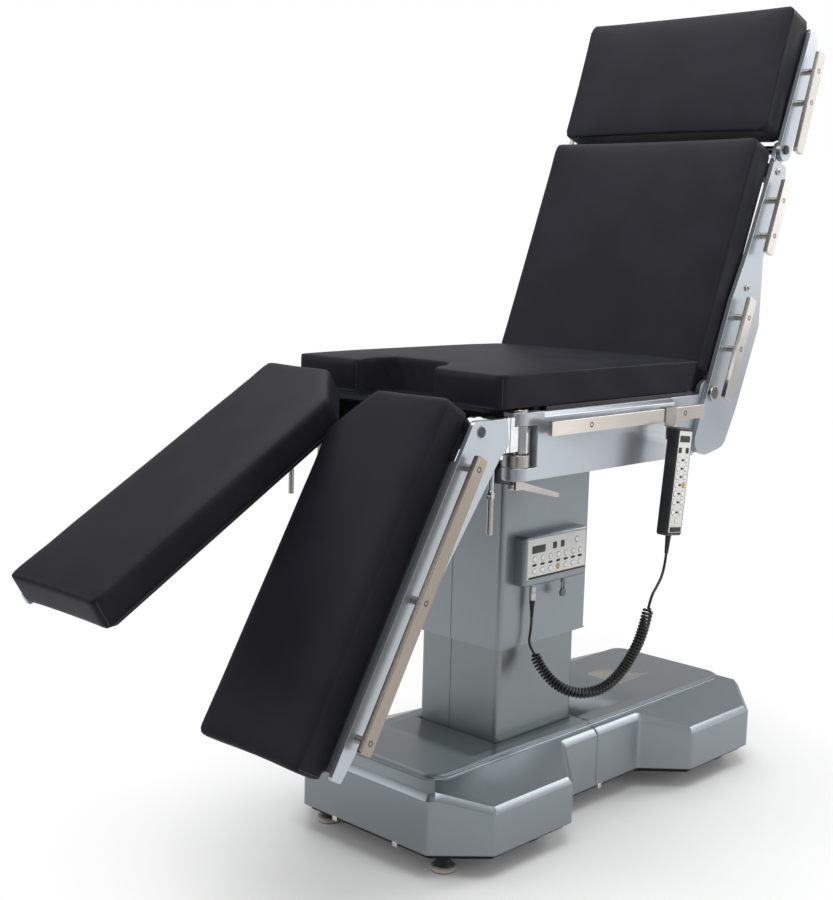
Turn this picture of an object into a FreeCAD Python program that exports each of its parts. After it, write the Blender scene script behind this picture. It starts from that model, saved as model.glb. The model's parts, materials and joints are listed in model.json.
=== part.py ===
import FreeCAD, Part
import math
import os

Vector = FreeCAD.Vector

# Operating table, millimetres. +X points to the head end, +Z up, -Y is the patient's left.
# The origin lies on the floor, at the centre of the four levelling feet.

# Base
BASE_HALF_LENGTH = 502.0
BASE_HALF_WIDTH = 242.0
NOSE_HALF_WIDTH = 158.0
NOSE_LENGTH = 87.0
LOBE_OUTER_X = BASE_HALF_LENGTH - NOSE_LENGTH
LOBE_INNER_X = 198.0
WAIST_HALF_LENGTH = 121.5
WAIST_HALF_WIDTH = 163.0
COVER_BOTTOM = 45.0
COVER_SHOULDER = 165.0
COVER_TOP = 171.5
COVER_SLOPE = 0.36
COVER_WALL = 4.0
COVER_CORNER = 12.0
PLATEAU_HALF_WIDTH = 138.0
PLATEAU_SET_BACK = 41.0
PLATEAU_HALF_LENGTH = BASE_HALF_LENGTH - PLATEAU_SET_BACK
PLATEAU_CORNER = 30.0
COVER_SEAM_X = -20.0
COVER_SEAM_GAP = 1.0
CHASSIS_BOTTOM = 34.0
CHASSIS_THICKNESS = 8.0
CHASSIS_INSET = 14.0
TAB_WIDTH = 24.0
FOOT_INSET_X = 57.0
FOOT_INSET_Y = 10.0
FOOT_X = BASE_HALF_LENGTH - FOOT_INSET_X
FOOT_Y = NOSE_HALF_WIDTH - FOOT_INSET_Y
FOOT_RADIUS = 22.0
FOOT_DISC = 9.0
FOOT_STEM_RADIUS = 8.0
FOOT_COLLAR_RADIUS = 13.0
FOOT_COLLAR = 8.0
FOOT_STEM_ABOVE = 22.0
FOOT_CUP_STEP = 5.0
RUNNING_GAP = 0.05
TANK_X = (120.0, 250.0)
TANK_Y = (-110.0, 60.0)
TANK_HEIGHT = 95.0
PUMP_LENGTH = 50.0
PUMP_Y = (-70.0, 20.0)
PUMP_HEIGHT = 80.0
MOTOR_LENGTH = 130.0
MOTOR_RADIUS = 38.0
MOTOR_LIFT = 42.0
MOTOR_FOOT_INSET = 20.0
MOTOR_FOOT_HALF_WIDTH = 25.0
MOTOR_FOOT = 12.0

# Column
COLUMN_X = -140.0
LOWER_LENGTH = 228.0
LOWER_WIDTH = 198.0
LOWER_TOP = 560.0
SHEET = 2.0
SLEEVE_GAP = 1.0
UPPER_REAR_X = 4.5
UPPER_BOTTOM = 351.0
UPPER_TOP = 664.0
COLUMN_CORNER = 10.0
GUIDE_SIZE = 110.0
GUIDE_WALL = 6.0
GUIDE_FLANGE = 170.0
GUIDE_FLANGE_THICKNESS = 10.0
GUIDE_TOP = 470.0
RAM_GAP = 0.1
RAM_BOTTOM = 240.0
HEAD_PLATE_THICKNESS = 12.0
CHEEK_INNER = 55.0
CHEEK_THICKNESS = 20.0
CHEEK_FOOT = 42.0
CHEEK_RADIUS = 25.0

# Tilt head
TILT_X = -126.0
TILT_Z = 745.0
YOKE_HALF_X = 38.0
YOKE_HALF_Z = 22.0
YOKE_GAP = 0.5
JOURNAL_RADIUS = 15.0
CROSS_PLATE_OFFSET = 100.0
CROSS_PLATE_THICKNESS = 12.0
CROSS_BOSS_RADIUS = 24.0
CROSS_ARM_RISE = 23.0
CROSS_ARM_START = 95.0

# Seat frame
CUSHION_HALF_WIDTH = 250.0
PLATE_CLEARANCE = 2.0
SIDE_PLATE = 10.0
BEAM_OUTER_Y = CUSHION_HALF_WIDTH + PLATE_CLEARANCE + SIDE_PLATE
BEAM_WIDTH = 22.0
BEAM_INNER_Y = BEAM_OUTER_Y - BEAM_WIDTH
BEAM_WEB = 8.0
BEAM_FLANGE = 12.0
BEAM_BOTTOM = 706.0
BEAM_TOP = 820.0
BEAM_CHAMFER = 8.0
BEAM_FRONT_X = -367.0
SWIVEL_X = -392.0
LUG_RADIUS = 24.0
SWIVEL_Y = BEAM_OUTER_Y - LUG_RADIUS
LUG_REAR_X = -350.0
UPPER_LUG_BOTTOM = 800.0
LUG_THICKNESS = 22.0
BACK_HINGE_X = 166.0
BACK_HINGE_Z = 822.0
SWING_RADIUS = 127.0
HINGE_BOSS_RADIUS = 26.0
SIDE_GAP = 0.5
HINGE_PIN_RADIUS = 10.0
HINGE_HEAD_RADIUS = 14.0
HINGE_HEAD = 6.0
FRONT_TUBE_X = -352.0
FRONT_TUBE = 20.0
FRONT_TUBE_BOTTOM = 735.0
FRONT_TUBE_TOP = 795.0

# Cushions and boards
CUSHION_CORNER = 14.0
BOARD = 8.0
BOARD_INSET = 14.0
BOARD_HALF_WIDTH = CUSHION_HALF_WIDTH - BOARD_INSET
SEAT_FRONT_X = -449.0
SEAT_TOP = 885.0
SEAT_REAR_X = 128.0
SEAT_BOARD_REAR_X = 98.0
CUTOUT_HALF_WIDTH = 92.0
CUTOUT_DEPTH = 68.0
CUTOUT_CORNER = 40.0
NOTCH_GAP = 3.0

# Accessory rails
RAIL_STAND_OFF = 28.0
RAIL_OUTER_Y = BEAM_OUTER_Y + RAIL_STAND_OFF
RAIL_THICKNESS = 10.0
RAIL_HEIGHT = 25.0
RAIL_CORNER = 4.0
POST_RADIUS = 6.5
SEAT_RAIL_Z = 795.0
SEAT_RAIL_FRONT_X = -364.0
SEAT_RAIL_REAR_X = 99.0
SEAT_POSTS_X = (-255.0, 34.0)

# Swivel joint of a leg section
RING_RADIUS = 23.0
RING_HEIGHT = 22.0
CROWN_TEETH = 24
CROWN_TOOTH = 1.6
CROWN_GAP = 0.4
SLEEVE_RADIUS = 22.0
ROD_RADIUS = 12.0
ROD_CAP_RADIUS = 17.0
ROD_CAP = 4.0
SLEEVE_TOP_GAP = 0.6
BLOCK_FRONT_X = -460.0
BLOCK_BOTTOM = 757.0
BLOCK_TOP = 815.0
BLOCK_REAR_X = -418.0
BLOCK_RIDGES = 4
BLOCK_RIDGE = 2.0
LEG_PLATE = 8.0
ARM_GAP = 0.6
ARM_THICKNESS = 11.4
BLOCK_WIDTH = 31.4
ARM_OUTER_Y = BEAM_OUTER_Y - LEG_PLATE - ARM_GAP
ARM_INNER_Y = ARM_OUTER_Y - ARM_THICKNESS
BLOCK_INNER_Y = ARM_OUTER_Y - BLOCK_WIDTH
ARM_BOTTOM = 775.0
ARM_TOP = 812.0
PITCH_X = -511.0
PITCH_Z = 798.5
PITCH_DISC_RADIUS = 24.0
PITCH_PIN_RADIUS = 10.0
CLEVIS_HALF = 9.0
CLEVIS_DROP = 18.0
CLEVIS_SLOT = 8.0
CAM_Z = 698.0
CAM_RADIUS = 9.0
CAM_PIN_RADIUS = 3.0
LEVER_LENGTH = 112.0
LEVER_DROP = 30.0
LEVER_TIP_RADIUS = 4.5
SPINDLE_X = -466.0
SPINDLE_INSET = 6.1
SPINDLE_Y = ARM_OUTER_Y - SPINDLE_INSET
SPINDLE_RADIUS = 5.0
ELBOW_Z = 690.0
TONGUE = 4.0
TONGUE_GAP = 0.15
ELBOW_PIN_RADIUS = 1.8
HANDLE_BOTTOM = 622.0

# Leg sections, drawn level and then let down about the pitch pin
LEG_ANGLE_LEFT = 60.0
LEG_ANGLE_RIGHT = 30.6
LEG_FACE = 76.0
LEG_CUSHION = 54.0
LEG_START = 23.0
LEG_END = -595.0
LEG_INNER_Y = 2.0
LEG_SIDE_GAP = 14.0
LEG_OUTER_Y = BEAM_OUTER_Y - LEG_PLATE - LEG_SIDE_GAP
LEG_CHAMFER_ALONG = 84.0
LEG_CHAMFER_ACROSS = 77.0
LEG_BOARD_INSET = 8.0
LEG_FLANGE = 4.0
LEG_FLANGE_GRIP = 24.0
LEG_FLANGE_INNER_Y = BOARD_HALF_WIDTH - LEG_FLANGE_GRIP
LEG_FLANGE_START = -60.0
LEG_PLATE_RISE = 2.0
LEG_PLATE_START = 6.0
LEG_PLATE_INSET = 3.0
LEG_PLATE_LOW = [(-16.0, -66.0), (12.0, -75.0), (47.0, -47.0)]
LEG_RAIL_START = -44.0
LEG_RAIL_END = -540.0
LEG_RAIL_Z = 3.0
LEG_POSTS = (-64.0, -292.0, -520.0)

# Back section, drawn level and then raised about the back hinge
BACK_ANGLE = 68.8
BACK_FACE = 56.0
BACK_CUSHION = 61.0
BACK_START = -9.0
BACK_END = 512.0
BACK_PLATE = [
    (-118.0, 18.0), (188.0, 14.0), (296.0, 1.0), (494.0, -8.0), (497.0, -56.0), (470.0, -62.0),
    (302.0, -56.0), (262.0, -72.0), (176.0, -104.0), (0.0, -98.0), (-82.0, -88.0), (-118.0, -30.0),
]
BACK_PLATE_CORNERS = [28.0, 60.0, 40.0, 10.0, 10.0, 20.0, 40.0, 30.0, 30.0, 60.0, 36.0, 40.0]
BACK_NOTCH = 34.0
BACK_NOTCH_INSET = 15.0
BACK_NOTCH_HALF_WIDTH = CUSHION_HALF_WIDTH - BACK_NOTCH_INSET
BACK_BOARD_START = 6.0
BACK_CROSS_X = (227.0, 475.0)
BACK_CROSS_WIDTH = 30.0
BACK_CROSS_HEIGHT = 32.0
BACK_LONG_RAIL = (-5.0, 203.0, -17.0)
BACK_SHORT_RAIL = (302.0, 457.0, -31.0)
BACK_LONG_POSTS = (98.0, 163.0)
BACK_SHORT_POSTS = (340.0, 415.0)
HEAD_LUG_RADIUS = 16.0
HEAD_LUG_START = 440.0
HEAD_LUG_THICKNESS = 10.0

# Head section, drawn level and then raised about the head hinge
HEAD_HINGE_ALONG = 525.8
HEAD_HINGE_BELOW = 35.8
HEAD_ANGLE = 71.2
HEAD_FACE = 71.0
HEAD_CUSHION = 64.0
HEAD_START = 14.0
HEAD_END = 276.0
HEAD_BOARD_START = 20.0
HEAD_BAR_RADIUS = 9.0
HEAD_BAR_END = 3.0
HEAD_LUG = 22.0
HEAD_PLATE_END = [(210.0, -33.0), (240.0, -26.0), (255.0, -6.0), (251.0, 8.0)]
HEAD_PLATE_CORNERS = [8.0, 14.0, 6.0, 6.0]
HEAD_RAIL = (-3.0, 210.0, -8.0)
HEAD_POSTS = (103.0, 170.0)
HEAD_FLANGE = 4.0
HEAD_FLANGE_START = 30.0

# Control box and handset
BOX_FRONT_X = -221.0
BOX_REAR_X = -33.0
BOX_BOTTOM = 469.0
BOX_HEIGHT = 96.0
BOX_DEPTH = 26.0
BOX_CORNER = 7.0
KEYPAD_RECESS = 0.8
KEYPAD_MARGIN = 6.0
KEYPAD_BOTTOM = 14.0
PLUG_X = -181.0
PLUG_Y = -115.0
PLUG_RADIUS = 6.0
PLUG_LENGTH = 30.0
BOOT_LENGTH = 32.0
CAP_X = -98.0
CAP_RADIUS = 8.0
CAP_THICKNESS = 4.0
CAP_DROP = 27.0
CAP_PIN_RADIUS = 1.5
CAP_STRAP = 2.0
CAP_STRAP_GAP = 2.6
CAP_PIN_DROP = 4.0
CAP_PIN_HALF = 6.0
HANDSET_X = -16.0
HANDSET_TOP = 775.0
HANDSET_LENGTH = 199.0
HANDSET_WIDTH = 50.0
HANDSET_DEPTH = 25.0
HANDSET_REACH = 37.0
HANDSET_FRONT_Y = -RAIL_OUTER_Y - HANDSET_REACH
HANDSET_LEAN = 6.7
HANDSET_CORNER = 5.0
HANDSET_MARGIN = 4.0
HANDSET_MARGIN_END = 6.0
RELIEF_LENGTH = 34.0
RELIEF_RADIUS = 5.5
CLIP_WIDTH = 34.0
CLIP_SHEET = 2.0
CLIP_LOW = 776.0
CLIP_BACK_LOW = 786.0
CLIP_ARM_DROP = 24.0
CLIP_ARM_INSET = 5.0
CLIP_STUB_HALF = 7.0
CLIP_STUB = 12.0

# Cord of the handset
CORD_RADIUS = 2.5
COIL_RADIUS = 10.0
CORD_TAIL = [
    (-181.0, -115.0, 407.0), (-181.0, -115.0, 385.0),
    (-186.375, -114.0, 357.5625), (-182.0, -124.0, 338.5),
]
CORD_COIL = [
    (-182.0, -124.0, 338.5), (-175.0, -140.0, 308.0), (-163.0, -165.0, 281.5),
    (-149.0, -195.0, 270.6), (-133.5, -223.5, 274.5), (-120.0, -250.0, 290.1),
    (-108.4, -272.0, 319.8), (-104.1, -292.0, 355.7), (-101.4, -306.0, 390.0),
    (-101.5, -315.5, 424.0), (-97.0, -318.5, 452.0),
]
CORD_RUN = [(-97.0, -318.5, 452.0), (-93.85, -320.6, 471.6), (-76.0, -319.0, 486.0), (-57.5, -316.5, 500.5)]
CORD_LAST_RUN = 20.0


def box(x_range, y_range, z_range):
    """Block between three pairs of limits, given in any order."""
    low = [min(pair) for pair in (x_range, y_range, z_range)]
    size = [abs(pair[1] - pair[0]) for pair in (x_range, y_range, z_range)]
    return Part.makeBox(size[0], size[1], size[2], Vector(*low))


def rod(start, end, radius):
    """Round bar between two points."""
    start = Vector(*start)
    run = Vector(*end) - start
    return Part.makeCylinder(radius, run.Length, start, run)


def cone(start, end, radius_start, radius_end):
    """Tapered round bar between two points."""
    start = Vector(*start)
    run = Vector(*end) - start
    return Part.makeCone(radius_start, radius_end, run.Length, start, run)


def rounded_wire(points, radii):
    """Closed wire through the points, each corner rounded by a tangent arc of its radius."""
    count = len(points)
    ends = []
    for i in range(count):
        corner = points[i]
        before = (points[i - 1] - corner).normalize()
        after = (points[(i + 1) % count] - corner).normalize()
        half = before.getAngle(after) / 2.0
        if radii[i] <= 0.0:
            ends.append((corner, None, corner))
            continue
        reach = radii[i] / math.tan(half)
        inward = (before + after).normalize()
        middle = corner + inward * (radii[i] / math.sin(half) - radii[i])
        ends.append((corner + before * reach, middle, corner + after * reach))
    edges = []
    for i in range(count):
        first, middle, last = ends[i]
        if middle is not None:
            edges.append(Part.Arc(first, middle, last).toShape())
        following = ends[(i + 1) % count][0]
        if (following - last).Length > 1e-6:
            edges.append(Part.LineSegment(last, following).toShape())
    return Part.Wire(edges)


def sheet_xy(outline, z_low, z_high, radius=0.0):
    """Plan outline of (x, y) or (x, y, corner radius) points, between two heights."""
    points = [Vector(p[0], p[1], z_low) for p in outline]
    radii = [p[2] if len(p) > 2 else radius for p in outline]
    return Part.Face(rounded_wire(points, radii)).extrude(Vector(0, 0, z_high - z_low))


def sheet_xz(outline, y_low, y_high, radius=0.0):
    """Side outline of (x, z) or (x, z, corner radius) points, between two widths."""
    points = [Vector(p[0], y_low, p[1]) for p in outline]
    radii = [p[2] if len(p) > 2 else radius for p in outline]
    return Part.Face(rounded_wire(points, radii)).extrude(Vector(0, y_high - y_low, 0))


def sheet_yz(outline, x_low, x_high, radius=0.0):
    """End outline of (y, z) or (y, z, corner radius) points, between two lengths."""
    points = [Vector(x_low, p[0], p[1]) for p in outline]
    radii = [p[2] if len(p) > 2 else radius for p in outline]
    return Part.Face(rounded_wire(points, radii)).extrude(Vector(x_high - x_low, 0, 0))


def mirrored(shape):
    """The same piece on the patient's right side."""
    return shape.mirror(Vector(0, 0, 0), Vector(0, 1, 0))


def fused(shapes):
    """One solid made of touching shapes."""
    whole = shapes[0].fuse(shapes[1:])
    return whole.removeSplitter()


def raised(shape, hinge, angle):
    """A back or head section drawn level at the origin, raised and set on its hinge."""
    placed = shape.copy()
    placed.rotate(Vector(0, 0, 0), Vector(0, 1, 0), -angle)
    placed.translate(Vector(hinge[0], 0, hinge[1]))
    return placed


def lowered(shape, angle):
    """A leg section drawn level at the origin, let down and set on its pitch pin."""
    return raised(shape, (PITCH_X, PITCH_Z), angle)


def group(shapes):
    """Separate solids kept in one node."""
    solids = []
    for shape in shapes:
        solids += shape.Solids
    return Part.makeCompound(solids)


def pair(shape):
    """A piece and its mirror image on the other side."""
    return group([shape, mirrored(shape)])


def base_outline(inset):
    """Plan outline of the base, drawn in by an inset."""
    slant = inset * math.tan(math.radians(22.5))
    quarter = [
        (BASE_HALF_LENGTH - inset, NOSE_HALF_WIDTH - slant),
        (LOBE_OUTER_X - slant, BASE_HALF_WIDTH - inset),
        (LOBE_INNER_X + slant, BASE_HALF_WIDTH - inset),
        (WAIST_HALF_LENGTH + slant, WAIST_HALF_WIDTH - inset),
    ]
    left = quarter + [(-x, y) for x, y in reversed(quarter)]
    return left + [(x, -y) for x, y in reversed(left)]


def base_body(inset):
    """Outer form of the base covers, drawn in by an inset: a lobed plan under a sloping roof."""
    bottom = COVER_BOTTOM - (1.0 if inset > 0 else 0.0)
    prism = sheet_xy(base_outline(inset), bottom, COVER_SHOULDER - inset, COVER_CORNER)
    side_drop = COVER_SLOPE * (BASE_HALF_WIDTH - PLATEAU_HALF_WIDTH)
    roof_side = sheet_yz(
        [
            (-BASE_HALF_WIDTH, bottom), (BASE_HALF_WIDTH, bottom),
            (BASE_HALF_WIDTH, COVER_SHOULDER - side_drop - inset),
            (PLATEAU_HALF_WIDTH, COVER_SHOULDER - inset),
            (-PLATEAU_HALF_WIDTH, COVER_SHOULDER - inset),
            (-BASE_HALF_WIDTH, COVER_SHOULDER - side_drop - inset),
        ],
        -BASE_HALF_LENGTH, BASE_HALF_LENGTH,
    )
    end_drop = COVER_SLOPE * (BASE_HALF_LENGTH - PLATEAU_HALF_LENGTH)
    roof_end = sheet_xz(
        [
            (-BASE_HALF_LENGTH, bottom), (BASE_HALF_LENGTH, bottom),
            (BASE_HALF_LENGTH, COVER_SHOULDER - end_drop - inset),
            (PLATEAU_HALF_LENGTH, COVER_SHOULDER - inset),
            (-PLATEAU_HALF_LENGTH, COVER_SHOULDER - inset),
            (-BASE_HALF_LENGTH, COVER_SHOULDER - end_drop - inset),
        ],
        -BASE_HALF_WIDTH, BASE_HALF_WIDTH,
    )
    return prism.common(roof_side).common(roof_end)


def base_covers():
    """Front and rear cover: thin shells that meet at a seam behind the column."""
    plateau = sheet_xy(
        [
            (PLATEAU_HALF_LENGTH, PLATEAU_HALF_WIDTH), (-PLATEAU_HALF_LENGTH, PLATEAU_HALF_WIDTH),
            (-PLATEAU_HALF_LENGTH, -PLATEAU_HALF_WIDTH), (PLATEAU_HALF_LENGTH, -PLATEAU_HALF_WIDTH),
        ],
        COVER_SHOULDER - COVER_WALL, COVER_TOP, PLATEAU_CORNER,
    )
    rim = [edge for edge in plateau.Edges if edge.BoundBox.ZMin > COVER_TOP - 0.01]
    plateau = plateau.makeFillet(3.0, rim)
    shell = base_body(0.0).fuse(plateau).cut(base_body(COVER_WALL))
    opening = box(
        (COLUMN_X - LOWER_LENGTH / 2 - SLEEVE_GAP, COLUMN_X + LOWER_LENGTH / 2 + SLEEVE_GAP),
        (-LOWER_WIDTH / 2 - SLEEVE_GAP, LOWER_WIDTH / 2 + SLEEVE_GAP),
        (COVER_BOTTOM, COVER_TOP + 1),
    )
    shell = shell.cut(opening)
    span = (-BASE_HALF_WIDTH - 1, BASE_HALF_WIDTH + 1)
    height = (COVER_BOTTOM - 2, COVER_TOP + 1)
    front = shell.common(
        box((-BASE_HALF_LENGTH - 1, COVER_SEAM_X - COVER_SEAM_GAP / 2), span, height)
    )
    rear = shell.common(
        box((COVER_SEAM_X + COVER_SEAM_GAP / 2, BASE_HALF_LENGTH + 1), span, height)
    )
    return front, rear


def base_chassis():
    """Steel plate under the covers, with tabs that carry their lower edges."""
    top = CHASSIS_BOTTOM + CHASSIS_THICKNESS
    plate = sheet_xy(base_outline(CHASSIS_INSET), CHASSIS_BOTTOM, top, COVER_CORNER)
    tabs = []
    for side in (-1, 1):
        for y in (-NOSE_HALF_WIDTH / 2, NOSE_HALF_WIDTH / 2):
            tabs.append(box(
                (side * (BASE_HALF_LENGTH - COVER_WALL), side * (BASE_HALF_LENGTH - 2 * CHASSIS_INSET)),
                (y - TAB_WIDTH / 2, y + TAB_WIDTH / 2), (top - 1, COVER_BOTTOM),
            ))
            tabs.append(box(
                (side * (BASE_HALF_LENGTH - COVER_WALL), side * (BASE_HALF_LENGTH - COVER_WALL / 2)),
                (y - TAB_WIDTH / 2, y + TAB_WIDTH / 2), (top - 1, COVER_BOTTOM),
            ))
        for x in (-(LOBE_OUTER_X + LOBE_INNER_X) / 2, (LOBE_OUTER_X + LOBE_INNER_X) / 2):
            tabs.append(box(
                (x - TAB_WIDTH / 2, x + TAB_WIDTH / 2),
                (side * (BASE_HALF_WIDTH - COVER_WALL / 2), side * (BASE_HALF_WIDTH - 2 * CHASSIS_INSET)),
                (top - 1, COVER_BOTTOM),
            ))
    chassis = fused([plate] + tabs)
    for x in (-FOOT_X, FOOT_X):
        for y in (-FOOT_Y, FOOT_Y):
            chassis = chassis.cut(rod(
                (x, y, CHASSIS_BOTTOM - 1), (x, y, top + 1), FOOT_STEM_RADIUS + RUNNING_GAP
            ))
    return chassis


def levelling_foot(x, y):
    """Disc foot on a threaded stem, its collar against the underside of the chassis."""
    bottom = CHASSIS_BOTTOM - FOOT_COLLAR
    disc = rod((x, y, 0), (x, y, FOOT_DISC), FOOT_RADIUS)
    disc = disc.makeFillet(2.0, [e for e in disc.Edges if e.BoundBox.ZMin > FOOT_DISC - 0.01])
    cup = cone((x, y, FOOT_DISC), (x, y, bottom), FOOT_RADIUS - FOOT_CUP_STEP, FOOT_STEM_RADIUS + 2.0)
    collar = rod((x, y, bottom), (x, y, CHASSIS_BOTTOM), FOOT_COLLAR_RADIUS)
    stem_top = CHASSIS_BOTTOM + CHASSIS_THICKNESS + FOOT_STEM_ABOVE
    stem = rod((x, y, bottom), (x, y, stem_top), FOOT_STEM_RADIUS)
    return fused([disc, cup, collar, stem])


def rounded_tube(x_range, half_width, z_range, wall, corner):
    """Upright rectangular sheet tube with rounded corners."""
    def plan(inset):
        return [
            (x_range[0] + inset, -half_width + inset), (x_range[1] - inset, -half_width + inset),
            (x_range[1] - inset, half_width - inset), (x_range[0] + inset, half_width - inset),
        ]
    outer = sheet_xy(plan(0.0), z_range[0], z_range[1], corner)
    inner = sheet_xy(plan(wall), z_range[0] - 1, z_range[1] + 1, corner - wall)
    return outer.cut(inner)


def column_lower_cover():
    """Fixed sheet cover of the column, standing on the chassis."""
    reach = (COLUMN_X - LOWER_LENGTH / 2, COLUMN_X + LOWER_LENGTH / 2)
    bottom = CHASSIS_BOTTOM + CHASSIS_THICKNESS
    return rounded_tube(reach, LOWER_WIDTH / 2, (bottom, LOWER_TOP), SHEET, COLUMN_CORNER)


def column_upper_cover():
    """Moving sheet cover that slides over the lower one, with a lip under its longer rear part."""
    front = COLUMN_X - LOWER_LENGTH / 2 - SLEEVE_GAP - SHEET
    half = LOWER_WIDTH / 2 + SLEEVE_GAP + SHEET
    tube = rounded_tube((front, UPPER_REAR_X), half, (UPPER_BOTTOM, UPPER_TOP), SHEET, COLUMN_CORNER)
    lip = box(
        (COLUMN_X + LOWER_LENGTH / 2 + SLEEVE_GAP, UPPER_REAR_X - SHEET / 2),
        (-half + SHEET / 2, half - SHEET / 2), (UPPER_BOTTOM, UPPER_BOTTOM + SHEET),
    )
    return fused([tube, lip])


def lift_guide():
    """Square guide tube of the lift, bolted to the chassis by its flange."""
    bottom = CHASSIS_BOTTOM + CHASSIS_THICKNESS
    half = GUIDE_SIZE / 2
    bore = half - GUIDE_WALL
    flange_half = GUIDE_FLANGE / 2
    flange = box(
        (COLUMN_X - flange_half, COLUMN_X + flange_half), (-flange_half, flange_half),
        (bottom, bottom + GUIDE_FLANGE_THICKNESS),
    )
    tube = box((COLUMN_X - half, COLUMN_X + half), (-half, half), (bottom, GUIDE_TOP))
    hollow = box(
        (COLUMN_X - bore, COLUMN_X + bore), (-bore, bore),
        (bottom + GUIDE_FLANGE_THICKNESS, GUIDE_TOP + 1),
    )
    return fused([flange, tube]).cut(hollow)


def lift_ram():
    """Square tube that rises in the guide and carries the column head."""
    half = GUIDE_SIZE / 2 - GUIDE_WALL - RAM_GAP
    top = UPPER_TOP - HEAD_PLATE_THICKNESS
    outer = box((COLUMN_X - half, COLUMN_X + half), (-half, half), (RAM_BOTTOM, top))
    bore = half - GUIDE_WALL
    inner = box((COLUMN_X - bore, COLUMN_X + bore), (-bore, bore), (RAM_BOTTOM - 1, top - GUIDE_WALL))
    return outer.cut(inner)


def column_head():
    """Top plate of the column with two cheeks that carry the tilt yoke."""
    front = COLUMN_X - LOWER_LENGTH / 2 - SLEEVE_GAP
    half = LOWER_WIDTH / 2 + SLEEVE_GAP
    plate = sheet_xy(
        [(front, -half), (UPPER_REAR_X - SHEET, -half), (UPPER_REAR_X - SHEET, half), (front, half)],
        UPPER_TOP - HEAD_PLATE_THICKNESS, UPPER_TOP, COLUMN_CORNER - SHEET,
    )
    pieces = [plate]
    for side in (-1, 1):
        inner = side * CHEEK_INNER
        outer = side * (CHEEK_INNER + CHEEK_THICKNESS)
        low, high = min(inner, outer), max(inner, outer)
        web = sheet_xz(
            [
                (TILT_X - CHEEK_FOOT, UPPER_TOP), (TILT_X + CHEEK_FOOT, UPPER_TOP),
                (TILT_X + CHEEK_RADIUS * 0.92, TILT_Z), (TILT_X - CHEEK_RADIUS * 0.92, TILT_Z),
            ],
            low, high,
        )
        boss = rod((TILT_X, low, TILT_Z), (TILT_X, high, TILT_Z), CHEEK_RADIUS)
        pieces += [web, boss]
    head = fused(pieces)
    reach = CHEEK_INNER + CHEEK_THICKNESS + 1
    return head.cut(rod((TILT_X, -reach, TILT_Z), (TILT_X, reach, TILT_Z), JOURNAL_RADIUS))


def tilt_yoke():
    """Cross block: its Y journals turn in the column head, its X journals carry the seat frame."""
    radius = JOURNAL_RADIUS - RUNNING_GAP
    block = box(
        (TILT_X - YOKE_HALF_X, TILT_X + YOKE_HALF_X),
        (-CHEEK_INNER + YOKE_GAP, CHEEK_INNER - YOKE_GAP),
        (TILT_Z - YOKE_HALF_Z, TILT_Z + YOKE_HALF_Z),
    )
    block = block.makeFillet(6.0, block.Edges)
    reach_y = CHEEK_INNER + CHEEK_THICKNESS + 3
    reach_x = CROSS_PLATE_OFFSET + CROSS_PLATE_THICKNESS + 6
    return fused([
        block,
        rod((TILT_X, -reach_y, TILT_Z), (TILT_X, reach_y, TILT_Z), radius),
        rod((TILT_X - reach_x, 0, TILT_Z), (TILT_X + reach_x, 0, TILT_Z), radius),
    ])


def cross_plate(x_low, x_high):
    """Gull-wing plate that hangs the seat frame on the yoke."""
    arm = TILT_Z + CROSS_ARM_RISE
    side = CROSS_BOSS_RADIUS * 0.9
    hip = TILT_Z - CROSS_BOSS_RADIUS * 0.3
    web = sheet_yz(
        [
            (-BEAM_INNER_Y, arm), (-CROSS_ARM_START, arm, 20), (-side, hip), (side, hip),
            (CROSS_ARM_START, arm, 20), (BEAM_INNER_Y, arm), (BEAM_INNER_Y, BEAM_TOP),
            (-BEAM_INNER_Y, BEAM_TOP),
        ],
        x_low, x_high,
    )
    boss = rod((x_low, 0, TILT_Z), (x_high, 0, TILT_Z), CROSS_BOSS_RADIUS)
    bore = rod((x_low - 1, 0, TILT_Z), (x_high + 1, 0, TILT_Z), JOURNAL_RADIUS)
    return fused([web, boss]).cut(bore)


def seat_cross_members():
    """Two plates on the yoke and a box tube at the leg end."""
    near = CROSS_PLATE_OFFSET
    far = CROSS_PLATE_OFFSET + CROSS_PLATE_THICKNESS
    tube = box(
        (FRONT_TUBE_X, FRONT_TUBE_X + FRONT_TUBE), (-BEAM_INNER_Y, BEAM_INNER_Y),
        (FRONT_TUBE_BOTTOM, FRONT_TUBE_TOP),
    )
    return group([
        cross_plate(TILT_X - far, TILT_X - near), cross_plate(TILT_X + near, TILT_X + far), tube,
    ])


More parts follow.
